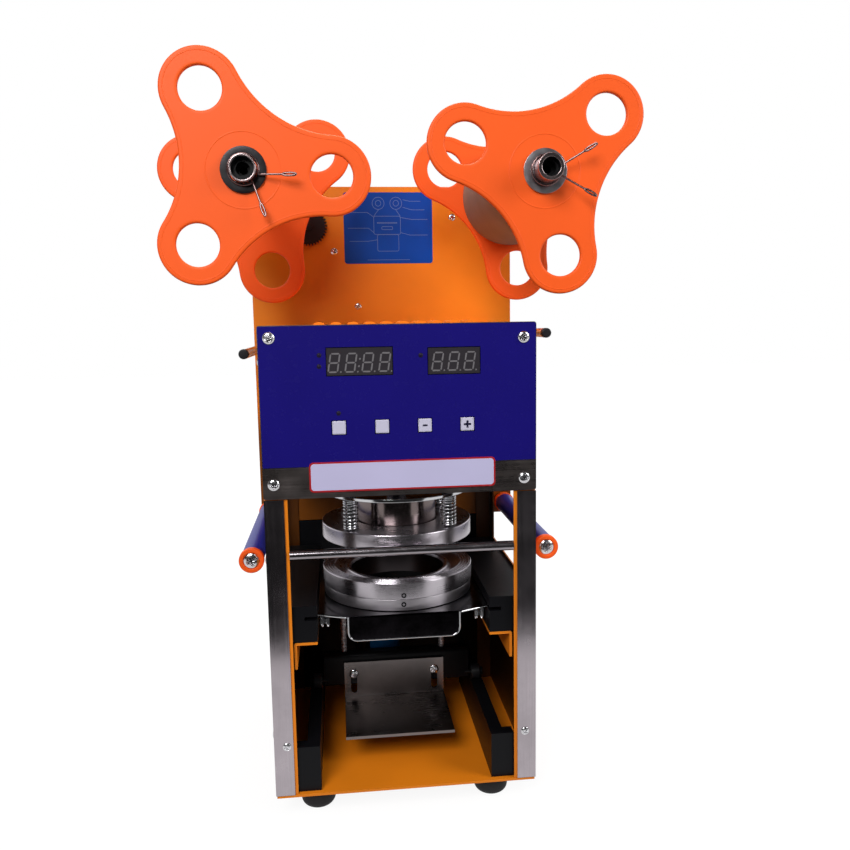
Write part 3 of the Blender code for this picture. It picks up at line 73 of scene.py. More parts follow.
# The studio: a white floor and a white wall of light behind and above the machine, darker towards the
# front, with one broad lamp at the upper left, a weaker one at the right and one overhead.
def add_node(tree, kind, *values, named=None, **settings):
    """Makes a shader node with its settings and returns its outputs. Its first sockets, and those named by
    title, get a value or a link."""
    node = tree.nodes.new("ShaderNode" + kind)
    for title, setting in settings.items():
        setattr(node, title, setting)
    sockets = list(zip(node.inputs, values))
    sockets += [(node.inputs[title], value) for title, value in (named or {}).items()]
    for socket, value in sockets:
        if isinstance(value, bpy.types.NodeSocket):
            tree.links.new(value, socket)
        else:
            socket.default_value = value
    return node.outputs


def add_math(tree, operation, *values):
    """One step of arithmetic on up to three numbers or outputs of other nodes."""
    return add_node(tree, "Math", *values, operation=operation)[0]


def add_range(tree, value, from_low, from_high, to_low, to_high, kind="LINEAR"):
    """Takes a value from one range to another, held at both ends."""
    return add_node(tree, "MapRange", value, from_low, from_high, to_low, to_high, interpolation_type=kind)[0]


def ray_kinds(tree):
    """Whether a ray is the camera's own, also through glass, and whether it comes off a glossy piece."""
    ray = add_node(tree, "LightPath")
    direct = add_math(tree, "MAXIMUM", ray["Is Camera Ray"], ray["Is Transmission Ray"])
    return direct, ray["Is Glossy Ray"]


scene.view_settings.view_transform = "Standard"
world = bpy.data.worlds.new("studio")
world.use_nodes = True
scene.world = world
tree = world.node_tree
tree.nodes.clear()
white = (1.0, 1.0, 1.0, 1.0)
direction = add_node(tree, "SeparateXYZ", add_node(tree, "TexCoord")["Generated"])
direct, glossy = ray_kinds(tree)
around = add_node(tree, "Background", white, 0.22)[0]
reflected = add_node(tree, "Background", white, add_range(tree, direction["Y"], -0.25, 0.45, 0.035, 1.0))[0]
seen = add_node(tree, "Background", white, 1.0)[0]
bounce = add_node(tree, "MixShader", glossy, around, reflected)[0]
add_node(tree, "OutputWorld", add_node(tree, "MixShader", direct, bounce, seen)[0])
for name, place, aim, size, power in (
        ("key_lamp", (-0.7, -1.65, 1.55), 0.3, 0.9, 33),
        ("fill_lamp", (1.5, -0.9, 1.1), 0.4, 0.8, 15),
        ("top_lamp", (0.1, 0.5, 1.9), 0.4, 1.0, 16)):
    lamp_data = bpy.data.lights.new(name, "AREA")
    lamp_data.size = size
    lamp_data.energy = power
    lamp = bpy.data.objects.new(name, lamp_data)
    lamp.location = place
    lamp.rotation_euler = (Vector((0, 0, aim)) - Vector(place)).to_track_quat("-Z", "Y").to_euler()
    scene.collection.objects.link(lamp)

# The floor is white paper. It is bright by itself where the camera or a mirror-like piece sees it, falling
# off towards the dark front of the studio, and takes the machine's shadow from the lamps.
floor_mesh = bpy.data.meshes.new("floor")
floor_mesh.from_pydata([(-6, -6, 0), (6, -6, 0), (6, 6, 0), (-6, 6, 0)], [], [(0, 1, 2, 3)])
floor = bpy.data.objects.new("floor", floor_mesh)
scene.collection.objects.link(floor)
paper = bpy.data.materials.new("white_paper")
paper.use_nodes = True
tree = paper.node_tree
tree.nodes.clear()
direct, glossy = ray_kinds(tree)
spot = add_node(tree, "TexCoord")["Object"]
along = add_node(tree, "SeparateXYZ", spot)
distance = add_node(tree, "VectorMath", spot, operation="LENGTH")["Value"]
# Painted shade: the glow the camera sees is 0.91 near the machine and rises to 1.0 about a metre off.
camera_glow_shaded_near_machine = add_range(tree, distance, 0.35, 1.1, 0.91, 1.0, "SMOOTHSTEP")
sideways = add_math(tree, "SUBTRACT", add_math(tree, "ABSOLUTE", along["X"]), 0.30)
sideways = add_math(tree, "MAXIMUM", sideways, 0.0)
nearness = add_math(tree, "MULTIPLY_ADD", sideways, 1.2, along["Y"])
shine_fall = add_range(tree, nearness, -0.500, -0.440, 0.02, 0.80, "SMOOTHSTEP")
strength = add_math(tree, "ADD", add_math(tree, "MULTIPLY", direct, camera_glow_shaded_near_machine),
                    add_math(tree, "MULTIPLY", glossy, shine_fall))
grey = add_range(tree, glossy, 0.0, 1.0, 0.13, 0.0, "SMOOTHSTEP")
both = add_node(tree, "AddShader", add_node(tree, "BsdfDiffuse", grey)[0],
                add_node(tree, "Emission", white, strength)[0])[0]
add_node(tree, "OutputMaterial", both)
floor_mesh.materials.append(paper)


# The floor plate of the body is a flat sheet of steel, sprayed amber-orange like every other sheet of the
# body. The paint is a satin powder coat: a fine orange peel, slight clouding and a few specks of dust.
def new_group(name, *sockets):
    """An empty shader node group with its named inputs, and their values inside it."""
    group = bpy.data.node_groups.new(name, "ShaderNodeTree")
    for title, kind, value in sockets:
        socket = group.interface.new_socket(title, in_out="INPUT", socket_type="NodeSocket" + kind)
        if value is not None:
            socket.default_value = value
    return group, group.nodes.new("NodeGroupInput").outputs


def close_group(group, **results):
    """Gives a group its named outputs."""
    for title in results:
        kind = "NodeSocketColor" if title == "Color" else "NodeSocketFloat"
        group.interface.new_socket(title, in_out="OUTPUT", socket_type=kind)
    outside = group.nodes.new("NodeGroupOutput")
    for title, value in results.items():
        group.links.new(value, outside.inputs[title])


def add_noise(tree, vector, scale, detail=3.0, roughness=0.5):
    """A cloudy pattern between 0 and 1."""
    named = {"Scale": scale, "Detail": detail, "Roughness": roughness}
    return add_node(tree, "TexNoise", vector, named=named)[0]


def add_shade(tree, colour, brightness):
    """The colour times a brightness that varies over the surface."""
    return add_node(tree, "VectorMath", colour, named={"Scale": brightness}, operation="SCALE")[0]


coat, given = new_group("coated_skin", ("Vector", "Vector", None), ("Color", "Color", None),
                        ("Peel", "Float", 900.0), ("Clouding", "Float", 0.06), ("Roughness", "Float", 0.4))
clouds = add_range(coat, add_noise(coat, given["Vector"], 16.0, 4.0), 0.3, 0.7, -1.0, 1.0)
grime = add_range(coat, add_noise(coat, given["Vector"], 130.0, 5.0, 0.7), 0.55, 0.75, 0.0, 1.0)
specks = add_range(coat, add_noise(coat, given["Vector"], 1500.0, 1.0), 0.74, 0.80, 0.0, 0.12)
brightness = add_math(coat, "MULTIPLY_ADD", clouds, given["Clouding"], 1.0)
brightness = add_math(coat, "SUBTRACT", brightness, specks)
close_group(coat, Color=add_shade(coat, given["Color"], brightness),
            Roughness=add_math(coat, "MULTIPLY_ADD", grime, 0.07, given["Roughness"]),
            Height=add_noise(coat, given["Vector"], given["Peel"], 1.5))


def new_finish(name, metallic=0.0, roughness=0.4, colour=(0.5, 0.5, 0.5), coat_weight=0.0, shine=0.5):
    """A material with its plain values set on the shader's own sockets, and its Object coordinates."""
    material = bpy.data.materials.new(name)
    material.use_nodes = True
    shader = material.node_tree.nodes["Principled BSDF"]
    for title, value in (("Base Color", (*colour, 1.0)), ("Roughness", roughness), ("Metallic", metallic),
                         ("Coat Weight", coat_weight), ("Specular IOR Level", shine)):
        shader.inputs[title].default_value = value
    return material, shader, add_node(material.node_tree, "TexCoord")["Object"]


def place_group(material, group, shader, vector, bump, **values):
    """Puts a group into a material and leads its colour, roughness and height to the shader."""
    tree = material.node_tree
    skin = add_node(tree, "Group", node_tree=group, named={"Vector": vector, **values})
    raised = add_node(tree, "Bump", named={"Strength": 1.0, "Distance": bump, "Height": skin["Height"]})[0]
    for title, value in (("Base Color", skin["Color"]), ("Roughness", skin["Roughness"]), ("Normal", raised)):
        tree.links.new(value, shader.inputs[title])


def coated(name, colour, roughness, peel=900.0, clouding=0.06, bump=0.00003, **finish):
    """A painted, printed or moulded finish. Peel is how fine its grain is, and bump how deep in metres."""
    material, shader, vector = new_finish(name, **finish)
    place_group(material, coat, shader, vector, bump, Color=(*colour, 1.0), Peel=peel, Clouding=clouding,
                Roughness=roughness)
    return material


def dress(material, *nodes):
    """Gives nodes of the frame their material in every slot."""
    for node in nodes:
        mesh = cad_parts[node].data
        if not mesh.materials:
            mesh.materials.append(material)
        for slot in range(len(mesh.materials)):
            mesh.materials[slot] = material


amber_colour = (0.820, 0.225, 0.008)
amber = coated("amber_paint", amber_colour, 0.36, shine=0.4)
dress(amber, "base_plate")


# The sides are the same sheet, folded in at the front and rear, with a window each for the film. The faces
# towards the bay are painted nearly black and the rear folds darker, as painted shade. Small zinc-plated
# screws with domed cross heads hold the sides.
def shade_painted_amber(name):
    """An amber paint whose brightness varies, to paint shade on it: the material, and the parts of its normal
    and of its place.
    """
    material = coated(name, amber_colour, 0.36, shine=0.4)
    surface = add_node(material.node_tree, "NewGeometry")
    parts = [add_node(material.node_tree, "SeparateXYZ", surface[title]) for title in ("Normal", "Position")]
    return material, *parts


def paint_shade_on_amber(material, brightness):
    """Multiplies the paint's amber by a brightness, which paints shade on it."""
    tree = material.node_tree
    paint = add_node(tree, "RGB")[0]
    paint.default_value = (*amber_colour, 1.0)
    skin = next(node for node in tree.nodes if node.type == "GROUP")
    tree.links.new(add_shade(tree, paint, brightness), skin.inputs["Color"])


middle_x = 0.0039
side_paint_shaded, normal, place = shade_painted_amber("side_paint_shaded")
tree = side_paint_shaded.node_tree
# Painted shade: faces towards the bay go down to 0.04 of the amber, and the rear folds down to 0.12 of it.
side = add_math(tree, "SIGN", add_math(tree, "SUBTRACT", place["X"], middle_x))
bay_face_shade = add_range(tree, add_math(tree, "MULTIPLY", side, normal["X"]), -0.6, -0.4, 0.04, 1.0)
rear_fold_shade = add_math(tree, "MULTIPLY", add_range(tree, place["Y"], 0.02, 0.05, 0.0, 1.0),
                     add_range(tree, normal["Y"], -0.6, -0.4, 0.88, 0.0))
paint_shade_on_amber(side_paint_shaded, add_math(tree, "MULTIPLY", bay_face_shade, add_math(tree, "SUBTRACT", 1.0, rear_fold_shade)))
dress(side_paint_shaded, "side_panel_left", "side_panel_right")


def patch(grid, closed=True):
    """Four-sided faces over a grid of points. Rows follow the profile, and columns go once round it."""
    rows, columns = grid.shape[:2]
    row = np.arange(rows - 1)[:, None] * columns
    column = np.arange(columns if closed else columns - 1)[None, :]
    ahead = (column + 1) % columns
    faces = np.stack([row + column, row + ahead, row + columns + ahead, row + columns + column], axis=-1)
    return grid.reshape(-1, 3), faces.reshape(-1, 4).tolist()


def build(name, patches, material, body, sharp=38):
    """Joins patches into one piece, welds its seams and poles, turns its faces outwards and seats it on a
    body."""
    points, faces, count = [], [], 0
    for part_points, part_faces in patches:
        points.append(part_points)
        faces += [[corner + count for corner in face] for face in part_faces]
        count += len(part_points)
    mesh = bpy.data.meshes.new(name)
    mesh.from_pydata(np.concatenate(points).tolist(), [], faces)
    shape = bmesh.new()
    shape.from_mesh(mesh)
    bmesh.ops.remove_doubles(shape, verts=shape.verts, dist=2e-6)
    bmesh.ops.dissolve_degenerate(shape, edges=shape.edges, dist=1e-7)
    bmesh.ops.recalc_face_normals(shape, faces=shape.faces)
    shape.to_mesh(mesh)
    shape.free()
    mesh.shade_smooth()
    mesh.set_sharp_from_angle(angle=math.radians(sharp))
    mesh.materials.append(material)
    piece = bpy.data.objects.new(name, mesh)
    scene.collection.objects.link(piece)
    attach(piece, body)
    return piece


def axes_of(facing):
    """The facing direction and two directions across it, all of length one and square to each other."""
    facing = np.asarray(facing, float)
    facing = facing / np.linalg.norm(facing)
    helper = np.array((0.0, 0.0, 1.0)) if abs(facing[2]) < 0.9 else np.array((1.0, 0.0, 0.0))
    across = np.cross(helper, facing)
    across /= np.linalg.norm(across)
    return facing, across, np.cross(facing, across)


def smooth_step(low, high, value):
    """0 below low, 1 above high, and 3t^2 - 2t^3 between, t being the share of the way."""
    share = np.clip((value - low) / (high - low), 0, 1)
    return share * share * (3 - 2 * share)


def full_turn(steps):
    """Angles once round."""
    return np.linspace(0, 2 * np.pi, steps, endpoint=False)


def cross_head(middle, facing, radius, turn=0.3, rise=0.42):
    """A domed screw head. Its height is the dome less the slot. The dome is rise * radius * sqrt(1 -
    (0.93 s)^2) at share s of the way from the middle to the rim. The slot is a cross of two arms, 0.3 of the
    radius wide and 0.62 of it long, sunk by 0.34 of the radius with sloping sides."""
    facing, across, up = axes_of(facing)
    share = np.concatenate([[0.0], np.linspace(0.05, 1.0, 17), [1.0, 0.0]])[:, None]
    angle = full_turn(64)[None, :]
    x, y = share * np.cos(angle - turn), share * np.sin(angle - turn)
    slot = smooth_step(0.20, 0.12, np.minimum(abs(x), abs(y))) * smooth_step(0.68, 0.55, share)
    height = rise * np.sqrt(1 - (0.93 * share) ** 2) - 0.34 * slot
    height[-2:] = -0.12
    spoke = (share * np.cos(angle))[..., None] * across + (share * np.sin(angle))[..., None] * up
    return patch(np.asarray(middle, float) + radius * (spoke + height[..., None] * facing))


scuffed, given = new_group("scuffed_metal", ("Vector", "Vector", None), ("Color", "Color", None),
                           ("Roughness", "Float", 0.25), ("Stretch", "Vector", None),
                           ("Contrast", "Float", 0.15))
stretched = add_node(scuffed, "VectorMath", given["Vector"], given["Stretch"], operation="MULTIPLY")[0]
lines = add_noise(scuffed, stretched, 1.0, 3.0, 0.65)
clouds = add_range(scuffed, add_noise(scuffed, given["Vector"], 28.0, 4.0, 0.6), 0.25, 0.75, -0.5, 0.5)
scuffs = add_math(scuffed, "ADD", add_math(scuffed, "SUBTRACT", lines, 0.5), clouds)
brightness = add_math(scuffed, "MULTIPLY_ADD", scuffs, given["Contrast"], 1.0)
close_group(scuffed, Color=add_shade(scuffed, given["Color"], brightness),
            Roughness=add_math(scuffed, "MULTIPLY_ADD", scuffs, 0.16, given["Roughness"]), Height=lines)


def metal(name, colour, roughness, stretch=(300.0, 300.0, 300.0), contrast=0.15, bump=0.00001, spread=0.0,
          turned_marks=False, **finish):
    """A metal with scratches: the noise is drawn out along the direction with the smallest stretch. Light can
    spread sideways, across an upright grain, or up and down, across the marks of a piece turned upright."""
    material, shader, vector = new_finish(name, metallic=1.0, **finish)
    tree = material.node_tree
    shader.inputs["Anisotropic"].default_value = spread
    if spread and turned_marks:
        shader.inputs["Anisotropic Rotation"].default_value = 0.25
        marks = add_node(tree, "Tangent", direction_type="RADIAL", axis="Z")
        tree.links.new(marks[0], shader.inputs["Tangent"])
    elif spread:
        tree.links.new(add_node(tree, "CombineXYZ", 1.0)[0], shader.inputs["Tangent"])
    place_group(material, scuffed, shader, vector, bump, Color=(*colour, 1.0), Roughness=roughness,
                Stretch=stretch, Contrast=contrast)
    return material


leftwards = (-1, 0, 0)
rightwards = (1, 0, 0)
side_screw = 0.0036
zinc = metal("zinc_plate", (0.72, 0.71, 0.73), 0.20)
left_low, left_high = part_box("side_panel_left")
right_low, right_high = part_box("side_panel_right")
heads = []
for height in (0.05, 0.20, 0.36):
    for depth in (left_low.y + 0.008, left_high.y - 0.008):
        heads.append(cross_head((left_low.x, depth, left_low.z + height), leftwards, side_screw,
                                0.4 + height * 9))
        heads.append(cross_head((right_high.x, depth, right_low.z + height), rightwards, side_screw,
                                1.1 + height * 7))
build("side_screws", heads, zinc, "housing")

# The folded front edges are covered by two strips of brushed stainless, grained along their length, each
# held by one domed screw near its foot.
frontwards = (0, -1, 0)
strip_steel = metal("strip_stainless", (0.47, 0.42, 0.45), 0.20, (900.0, 900.0, 14.0), 0.30, 0.000006, 0.8)
dress(strip_steel, "front_strip_left", "front_strip_right")
strip_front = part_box("front_strip_left")[0].y
heads = [cross_head((x, strip_front, z), frontwards, 0.0034, turn)
         for x, z, turn in ((-0.0955, 0.0678, 0.35), (0.1046, 0.0672, 1.0))]
build("strip_screws", heads, zinc, "housing")


# The front of the housing is a stainless sheet, grained from side to side. A blue printed film covers it down
# to a bare edge. A pale blank label with a red border lies over the film's lower edge.
def on_face(x, face, z):
    """A point on an upright face, x from the body's middle and z from the top of its floor plate."""
    return x + middle_x, face, z + floor_top


def outline_normals(outline):
    """Directions out of the material, square to a line that goes anticlockwise round it, or clockwise round a
    hole: the tangent (x, y) gives the direction (y, -x)."""
    tangent = np.roll(outline, -1, axis=0) - np.roll(outline, 1, axis=0)
    normal = np.stack([tangent[:, 1], -tangent[:, 0]], axis=1)
    return normal / np.linalg.norm(normal, axis=1, keepdims=True)


def plate(outlines, low, high, edge, middle, facing=frontwards, across=rightwards):
    """A flat plate with rounded edges. Each outline is carried round its edge: at angle a from -90 to 90
    degrees it is drawn in by edge * (1 - cos a) and lies at the nearer face, moved by edge * (1 - |sin a|)
    into the plate. The faces are filled between the outlines. The first outline goes anticlockwise, and
    holes go clockwise."""
    middle, facing, across = (np.asarray(part, float) for part in (middle, facing, across))
    up = np.cross(facing, across)
    half = np.linspace(0, np.pi / 2, 5)
    inmost = [edge * 1.8]
    drawn = np.concatenate([inmost, edge * (1 - np.cos(half[::-1])), edge * (1 - np.cos(half)), inmost])
    level = np.concatenate([[low], low + edge * (1 - np.sin(half[::-1])), high - edge * (1 - np.sin(half)),
                            [high]])
    patches, rims = [], ([], [])
    for outline in outlines:
        outline = np.asarray(outline, float)
        flat = outline[None] - outline_normals(outline)[None] * drawn[:, None, None]
        patches.append(patch(middle + flat[..., :1] * across + flat[..., 1:] * up
                             + level[:, None, None] * facing))
        rims[0].append(flat[0])
        rims[1].append(flat[-1])
    for depth, rim in zip((low, high), rims):
        corners = [[Vector((x, y, 0)) for x, y in line] for line in rim]
        faces = [list(face) for face in tessellate_polygon(corners)]
        flat = np.concatenate(rim)
        patches.append((middle + flat[:, :1] * across + flat[:, 1:] * up + depth * facing, faces))
    return patches


def round_corners(middle, width, height, radius, steps=8):
    """A rectangle whose corners are quarter circles, anticlockwise."""
    quarter = np.linspace(0, np.pi / 2, steps)[None, :] + np.arange(4)[:, None] * np.pi / 2 - np.pi / 2
    side = np.array((1, 1, -1, -1))[:, None] * (width / 2 - radius)
    top = np.array((-1, 1, 1, -1))[:, None] * (height / 2 - radius)
    x = middle[0] + side + radius * np.cos(quarter)
    y = middle[1] + top + radius * np.sin(quarter)
    return np.stack([x, y], axis=-1).reshape(-1, 2)


floor_top = 0.0248
panel_low, panel_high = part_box("control_panel")
film_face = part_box("panel_overlay")[0].y
panel_steel = metal("panel_stainless", (0.36, 0.31, 0.30), 0.30, (16.0, 900.0, 900.0), 0.25, 0.00001)
dress(panel_steel, "control_panel")
film_blue = coated("printed_blue_film", (0.0095, 0.0056, 0.168), 0.26, 2200.0, 0.06, 0.000003, shine=0.3)
dress(film_blue, "panel_overlay")
label_red = coated("label_red", (0.42, 0.010, 0.015), 0.35, 2200.0, 0.05, 0.000004)
label_pale = coated("label_pale", (0.56, 0.53, 0.76), 0.36, 2200.0, 0.04, 0.000004)
label_middle = ((panel_low.x + panel_high.x) / 2 + 0.00125, 0.2929)
for name, outline, low, high, edge, finish in (
        ("border", round_corners(label_middle, 0.1495, 0.0242, 0.0035), -0.0010, 0.00012, 0.00005, label_red),
        ("face", round_corners(label_middle, 0.1468, 0.0215, 0.0026), -0.0008, 0.00022, 0.00004, label_pale)):
    build(f"panel_label_{name}", plate([outline], low, high, edge, (0, film_face, 0)), finish, "housing")
heads = []
for x, face, z, turn in ((-0.1009, film_face, 0.3785, 0.5), (0.0994, film_face, 0.3760, 0.9),
                         (-0.1015, panel_low.y, 0.2632, 0.2), (0.1000, panel_low.y, 0.2618, 1.3)):
    heads.append(cross_head(on_face(x, face, z), frontwards, 0.0046, turn, 0.5))
build("panel_screws", heads, zinc, "housing")

# Behind two windows in the film sit the display blocks, dark and unlit, so that the grey segments of their
# digits only just show. Small dark lamps stand beside the windows and over the first key.
display_black = coated("display_black", (0.033, 0.029, 0.034), 0.20, 1500.0, 0.1, 0.000002, coat_weight=0.3)
dress(display_black, "circuit_board")
segment_grey = coated("segment_grey", (0.165, 0.155, 0.165), 0.40, 1800.0, 0.04, 0.000003)
lamp_dark = coated("lamp_dark", (0.008, 0.004, 0.024), 0.50, 1500.0, 0.1, 0.000002, shine=0.2)
display_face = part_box("circuit_board")[0].y
digit_width = 0.0072
bar_width = 0.0012
bar_gap = 0.0008
digit_lean = 0.16


def segment(middle, length, upright):
    """One segment of a digit: a bar with a point of 45 degrees at each end."""
    along, side = length / 2, bar_width / 2
    line = np.array([(-along, 0), (side - along, -side), (along - side, -side), (along, 0),
                     (along - side, side), (side - along, side)])
    if upright:
        line = line[:, ::-1] * (-1, 1)
    return line + middle


def digit(height):
    """The seven bars of a digit and its point, round its middle."""
    half, reach = height / 2, digit_width / 2
    bars = [segment((0, z), digit_width - bar_gap, False) for z in (half, 0, -half)]
    bars += [segment((x, z), half - bar_gap, True) for z in (half / 2, -half / 2) for x in (-reach, reach)]
    return bars + [round_corners((reach + 0.0027, -half), bar_width, bar_width, 0.0005, 4)]


segments = []
for x_first, z_middle, count, height, pitch in (
        (-0.0474, 0.3831, 4, 0.0143, 0.0132), (0.0341, 0.3826, 3, 0.0141, 0.0128)):
    for number in range(count):
        bars = digit(height)
        if count == 4 and number == 1:
            for share in (0.20, -0.20):
                bars.append(round_corners((pitch / 2, height * share), 0.0014, 0.0014, 0.0006, 4))
        for line in bars:
            leaning = line + np.stack([digit_lean * line[:, 1], 0 * line[:, 1]], axis=1)
            segments += plate([leaning + (x_first + number * pitch, z_middle)], -0.0002, 0.00006, 0.00001,
                              (0, display_face, 0))
build("display_segments", segments, segment_grey, "housing")
share = np.concatenate([np.linspace(0, 1, 9), [1.0, 0.0]])[:, None]
angle = full_turn(24)[None, :]
rise = np.concatenate([0.45 * np.cos(np.linspace(0, np.pi / 2, 9)), [-0.2, -0.2]])[:, None]
lamp_grid = [share * np.cos(angle), -rise * np.ones_like(angle), share * np.sin(angle)]
dome = 0.0019 * np.stack(lamp_grid, axis=-1)
lamps = [patch(dome + np.array(on_face(x, film_face, z)))
         for x, z in ((-0.0627, 0.3645), (-0.0630, 0.3558), (0.0168, 0.3630), (-0.0489, 0.3188))]
build("panel_lamps", lamps, lamp_dark, "housing")


# Four square keys of pale plastic stand just proud of the film. The first two are plain, and the last two
# carry a minus and a plus, printed in dark blue.
def stand_in(name, patches, material, body, node, sharp=38):
    """A piece that stands for a node of the frame, and hides that node."""
    piece = build(name, patches, material, body, sharp)
    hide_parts(node)
    return piece


key_white = coated("key_white", (0.60, 0.58, 0.72), 0.42, 1400.0, 0.04, 0.000006)
mark_blue = coated("mark_blue", (0.006, 0.005, 0.030), 0.40, 1800.0, 0.04, 0.000003)
for number, body, bars in ((1, "key_power", ()), (2, "key_set", ()), (3, "key_less", ((0.0038, 0.0014),)),
                           (4, "key_more", ((0.0060, 0.0016), (0.0016, 0.0060)))):
    key_low, key_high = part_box(f"key_{number}")
    middle = (key_low + key_high) / 2
    front = (middle.x, key_low.y, middle.z)
    cap = round_corners((0, 0), key_high.x - key_low.x, key_high.z - key_low.z, 0.0008, 5)
    stand_in(f"key_cap_{number}", plate([cap], key_low.y - key_high.y, 0.0, 0.0005, front), key_white, body,
             f"key_{number}")
    marks = []
    for step, (wide, tall) in enumerate(bars):
        bar = round_corners((0, 0), wide, tall, 0.0002, 3)
        marks += plate([bar], -0.0001, 0.00008 + step * 0.00002, 0.00002, front)
    if marks:
        build(f"key_mark_{number}", marks, mark_blue, body)

# The lid is painted sheet with ten pressed louvres, and the tall back plate behind it is one flat sheet with
# rounded corners, darker low in the bay as painted shade. Three screws hold it, and a blue sheet with a plain
# line drawing is stuck to it.
dress(amber, "top_cover")
plate_paint_shaded, normal, place = shade_painted_amber("plate_paint_shaded")
shade_below_height = 0.300
unshaded_above_height = 0.330
# Painted shade: the plate is darkened to 0.26 of the amber below 0.30 m, low in the bay.
paint_shade_on_amber(plate_paint_shaded, add_range(plate_paint_shaded.node_tree, place["Z"], shade_below_height, unshaded_above_height, 0.26, 1.0))
dress(plate_paint_shaded, "back_plate")
plate_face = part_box("back_plate")[0].y
heads = [cross_head(on_face(x, plate_face, z), frontwards, 0.0033, turn)
         for x, z, turn in ((-0.0488, 0.4611, 0.4), (-0.0261, 0.4058, 1.0), (0.0716, 0.4944, 0.7))]
build("back_plate_screws", heads, zinc, "housing")
sheet_blue = coated("drawing_blue", (0.002, 0.058, 0.380), 0.34, 2200.0, 0.25, 0.000004, shine=0.25)
drawing_line = coated("drawing_line", (0.115, 0.200, 0.450), 0.40, 2200.0, 0.04, 0.000003)
sheet_middle = (0.0065 + middle_x, 0.4840 + floor_top)
pen = 0.00045
sheet = round_corners(sheet_middle, 0.0898, 0.0706, 0.0030)
build("drawing_sheet", plate([sheet], -0.0008, 0.00015, 0.00005, (0, plate_face, 0)), sheet_blue, "housing")


def close_ends(grid):
    """Adds a row at each end of a grid, drawn together to the middle of that end."""
    first, last = (np.repeat(end.mean(axis=1, keepdims=True), grid.shape[1], axis=1)
                   for end in (grid[:1], grid[-1:]))
    return np.concatenate([first, grid, last])


def ribbon(line, closed=False):
    """A thin printed line: each point of the line, moved half the pen's width to either side along the
    direction square to it, at two levels, so that the four edges enclose a flat bar."""
    line = np.asarray(line, float)
    tangent = np.gradient(line, axis=0)
    if closed:
        tangent = np.roll(line, -1, axis=0) - np.roll(line, 1, axis=0)
    side = np.stack([tangent[:, 1], -tangent[:, 0]], axis=1)
    side *= pen / 2 / np.linalg.norm(side, axis=1, keepdims=True)
    ring = []
    for sign, depth in ((-1, -0.0001), (1, -0.0001), (1, 0.00024), (-1, 0.00024)):
        flat = line + sign * side
        ring.append(np.stack([flat[:, 0], np.full(len(flat), -depth), flat[:, 1]], axis=1))
    grid = np.stack(ring, axis=1)
    grid = np.concatenate([grid, grid[:1]]) if closed else close_ends(grid)
    return patch(grid + np.array((sheet_middle[0], plate_face, sheet_middle[1])))


def circle(radius, steps, middle=(0, 0), way=1):
    """A round outline: anticlockwise, or clockwise as a hole where way is -1."""
    angle = way * full_turn(steps)
    return np.asarray(middle, float) + radius * np.stack([np.cos(angle), np.sin(angle)], axis=1)


drawing = []
for reel_x in (-0.0098, 0.0081):
    for radius in (0.0028, 0.0060):
        drawing.append(ribbon(circle(radius, 28, (reel_x, 0.0245)), True))
for wide, tall, middle in ((0.0270, 0.0180, (-0.0011, 0.0028)), (0.0216, 0.0164, (-0.0004, -0.0147)),
                           (0.0110, 0.0030, (-0.0011, 0.0)), (0.0200, 0.0008, (-0.0011, 0.0052))):
    drawing.append(ribbon(round_corners(middle, wide, tall, min(0.0016, tall / 3), 4), True))
for line in (((-14.6, 11.0), (-21, 15.5), (-40, 15.5)), ((-14.6, -4.5), (-20, 0), (-41, 0)),
             ((-11.2, -11.6), (-21, -13), (-39.5, -13)), ((15.0, 28.0), (22, 26.5), (33, 26.5)),
             ((15.0, 20.5), (24, 18.0), (37, 18.0)), ((12.4, 10.5), (24, 8.5), (40, 8.5)),
             ((12.4, -4.5), (22, -7), (40, -7)), ((-9.6, 18.2), (-12.5, 14.5), (-14.4, 11.9)),
             ((7.9, 18.2), (10.5, 14.5), (12.2, 11.9)), ((-21.6, -31.6), (0, -31.6), (21.4, -31.6))):
    drawing.append(ribbon(np.array(line) / 1000))
build("drawing_lines", drawing, drawing_line, "housing")

# The rear cover is a painted box with two columns of vents. It is screwed on all round, and the mains inlet,
# moulded in black plastic, is held in its lower corner by two screws.
rearwards = (0, 1, 0)
dress(amber, "rear_cover")
black_moulding = coated("black_moulding", (0.009, 0.009, 0.011), 0.46, 2600.0, 0.10, 0.00002, shine=0.35)
dress(black_moulding, "power_inlet")
cover_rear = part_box("rear_cover")[1].y
inlet_low, inlet_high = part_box("power_inlet")
heads = []
for x in (middle_x - 0.1219, middle_x, middle_x + 0.1219):
    for z in (0.232, 0.535):
        heads.append(cross_head((x, cover_rear, z), rearwards, 0.0036, 0.3 + x * 4 + z))
for x in (middle_x - 0.1, middle_x + 0.1):
    heads.append(cross_head((x, cover_rear, 0.037), rearwards, 0.0036, 0.9 + x))
for x in (inlet_low.x + 0.0026, inlet_high.x - 0.0026):
    place = (x, inlet_high.y - 0.0006, (inlet_low.z + inlet_high.z) / 2)
    heads.append(cross_head(place, rearwards, 0.0019, 0.5, 0.3))
build("rear_screws", heads, zinc, "housing")


# Four feet of black rubber are screwed under the floor plate, each moulded with a rounded lower edge and a
# recess for its screw.
def turned(profile, middle, facing=(0, 0, 1), steps=128, closed=False):
    """A turned piece: a point (radius, height) of the profile at angle a lies at
    middle + radius * (cos a * across + sin a * up) + height * facing."""
    facing, across, up = axes_of(facing)
    profile = np.asarray(profile, float)
    if closed:
        profile = np.concatenate([profile, profile[:1]])
    angle = full_turn(steps) + np.pi / steps
    spoke = np.cos(angle)[:, None] * across + np.sin(angle)[:, None] * up
    radius, height = profile[:, :1, None], profile[:, 1:, None]
    return patch(np.asarray(middle, float) + radius * spoke[None] + height * facing)


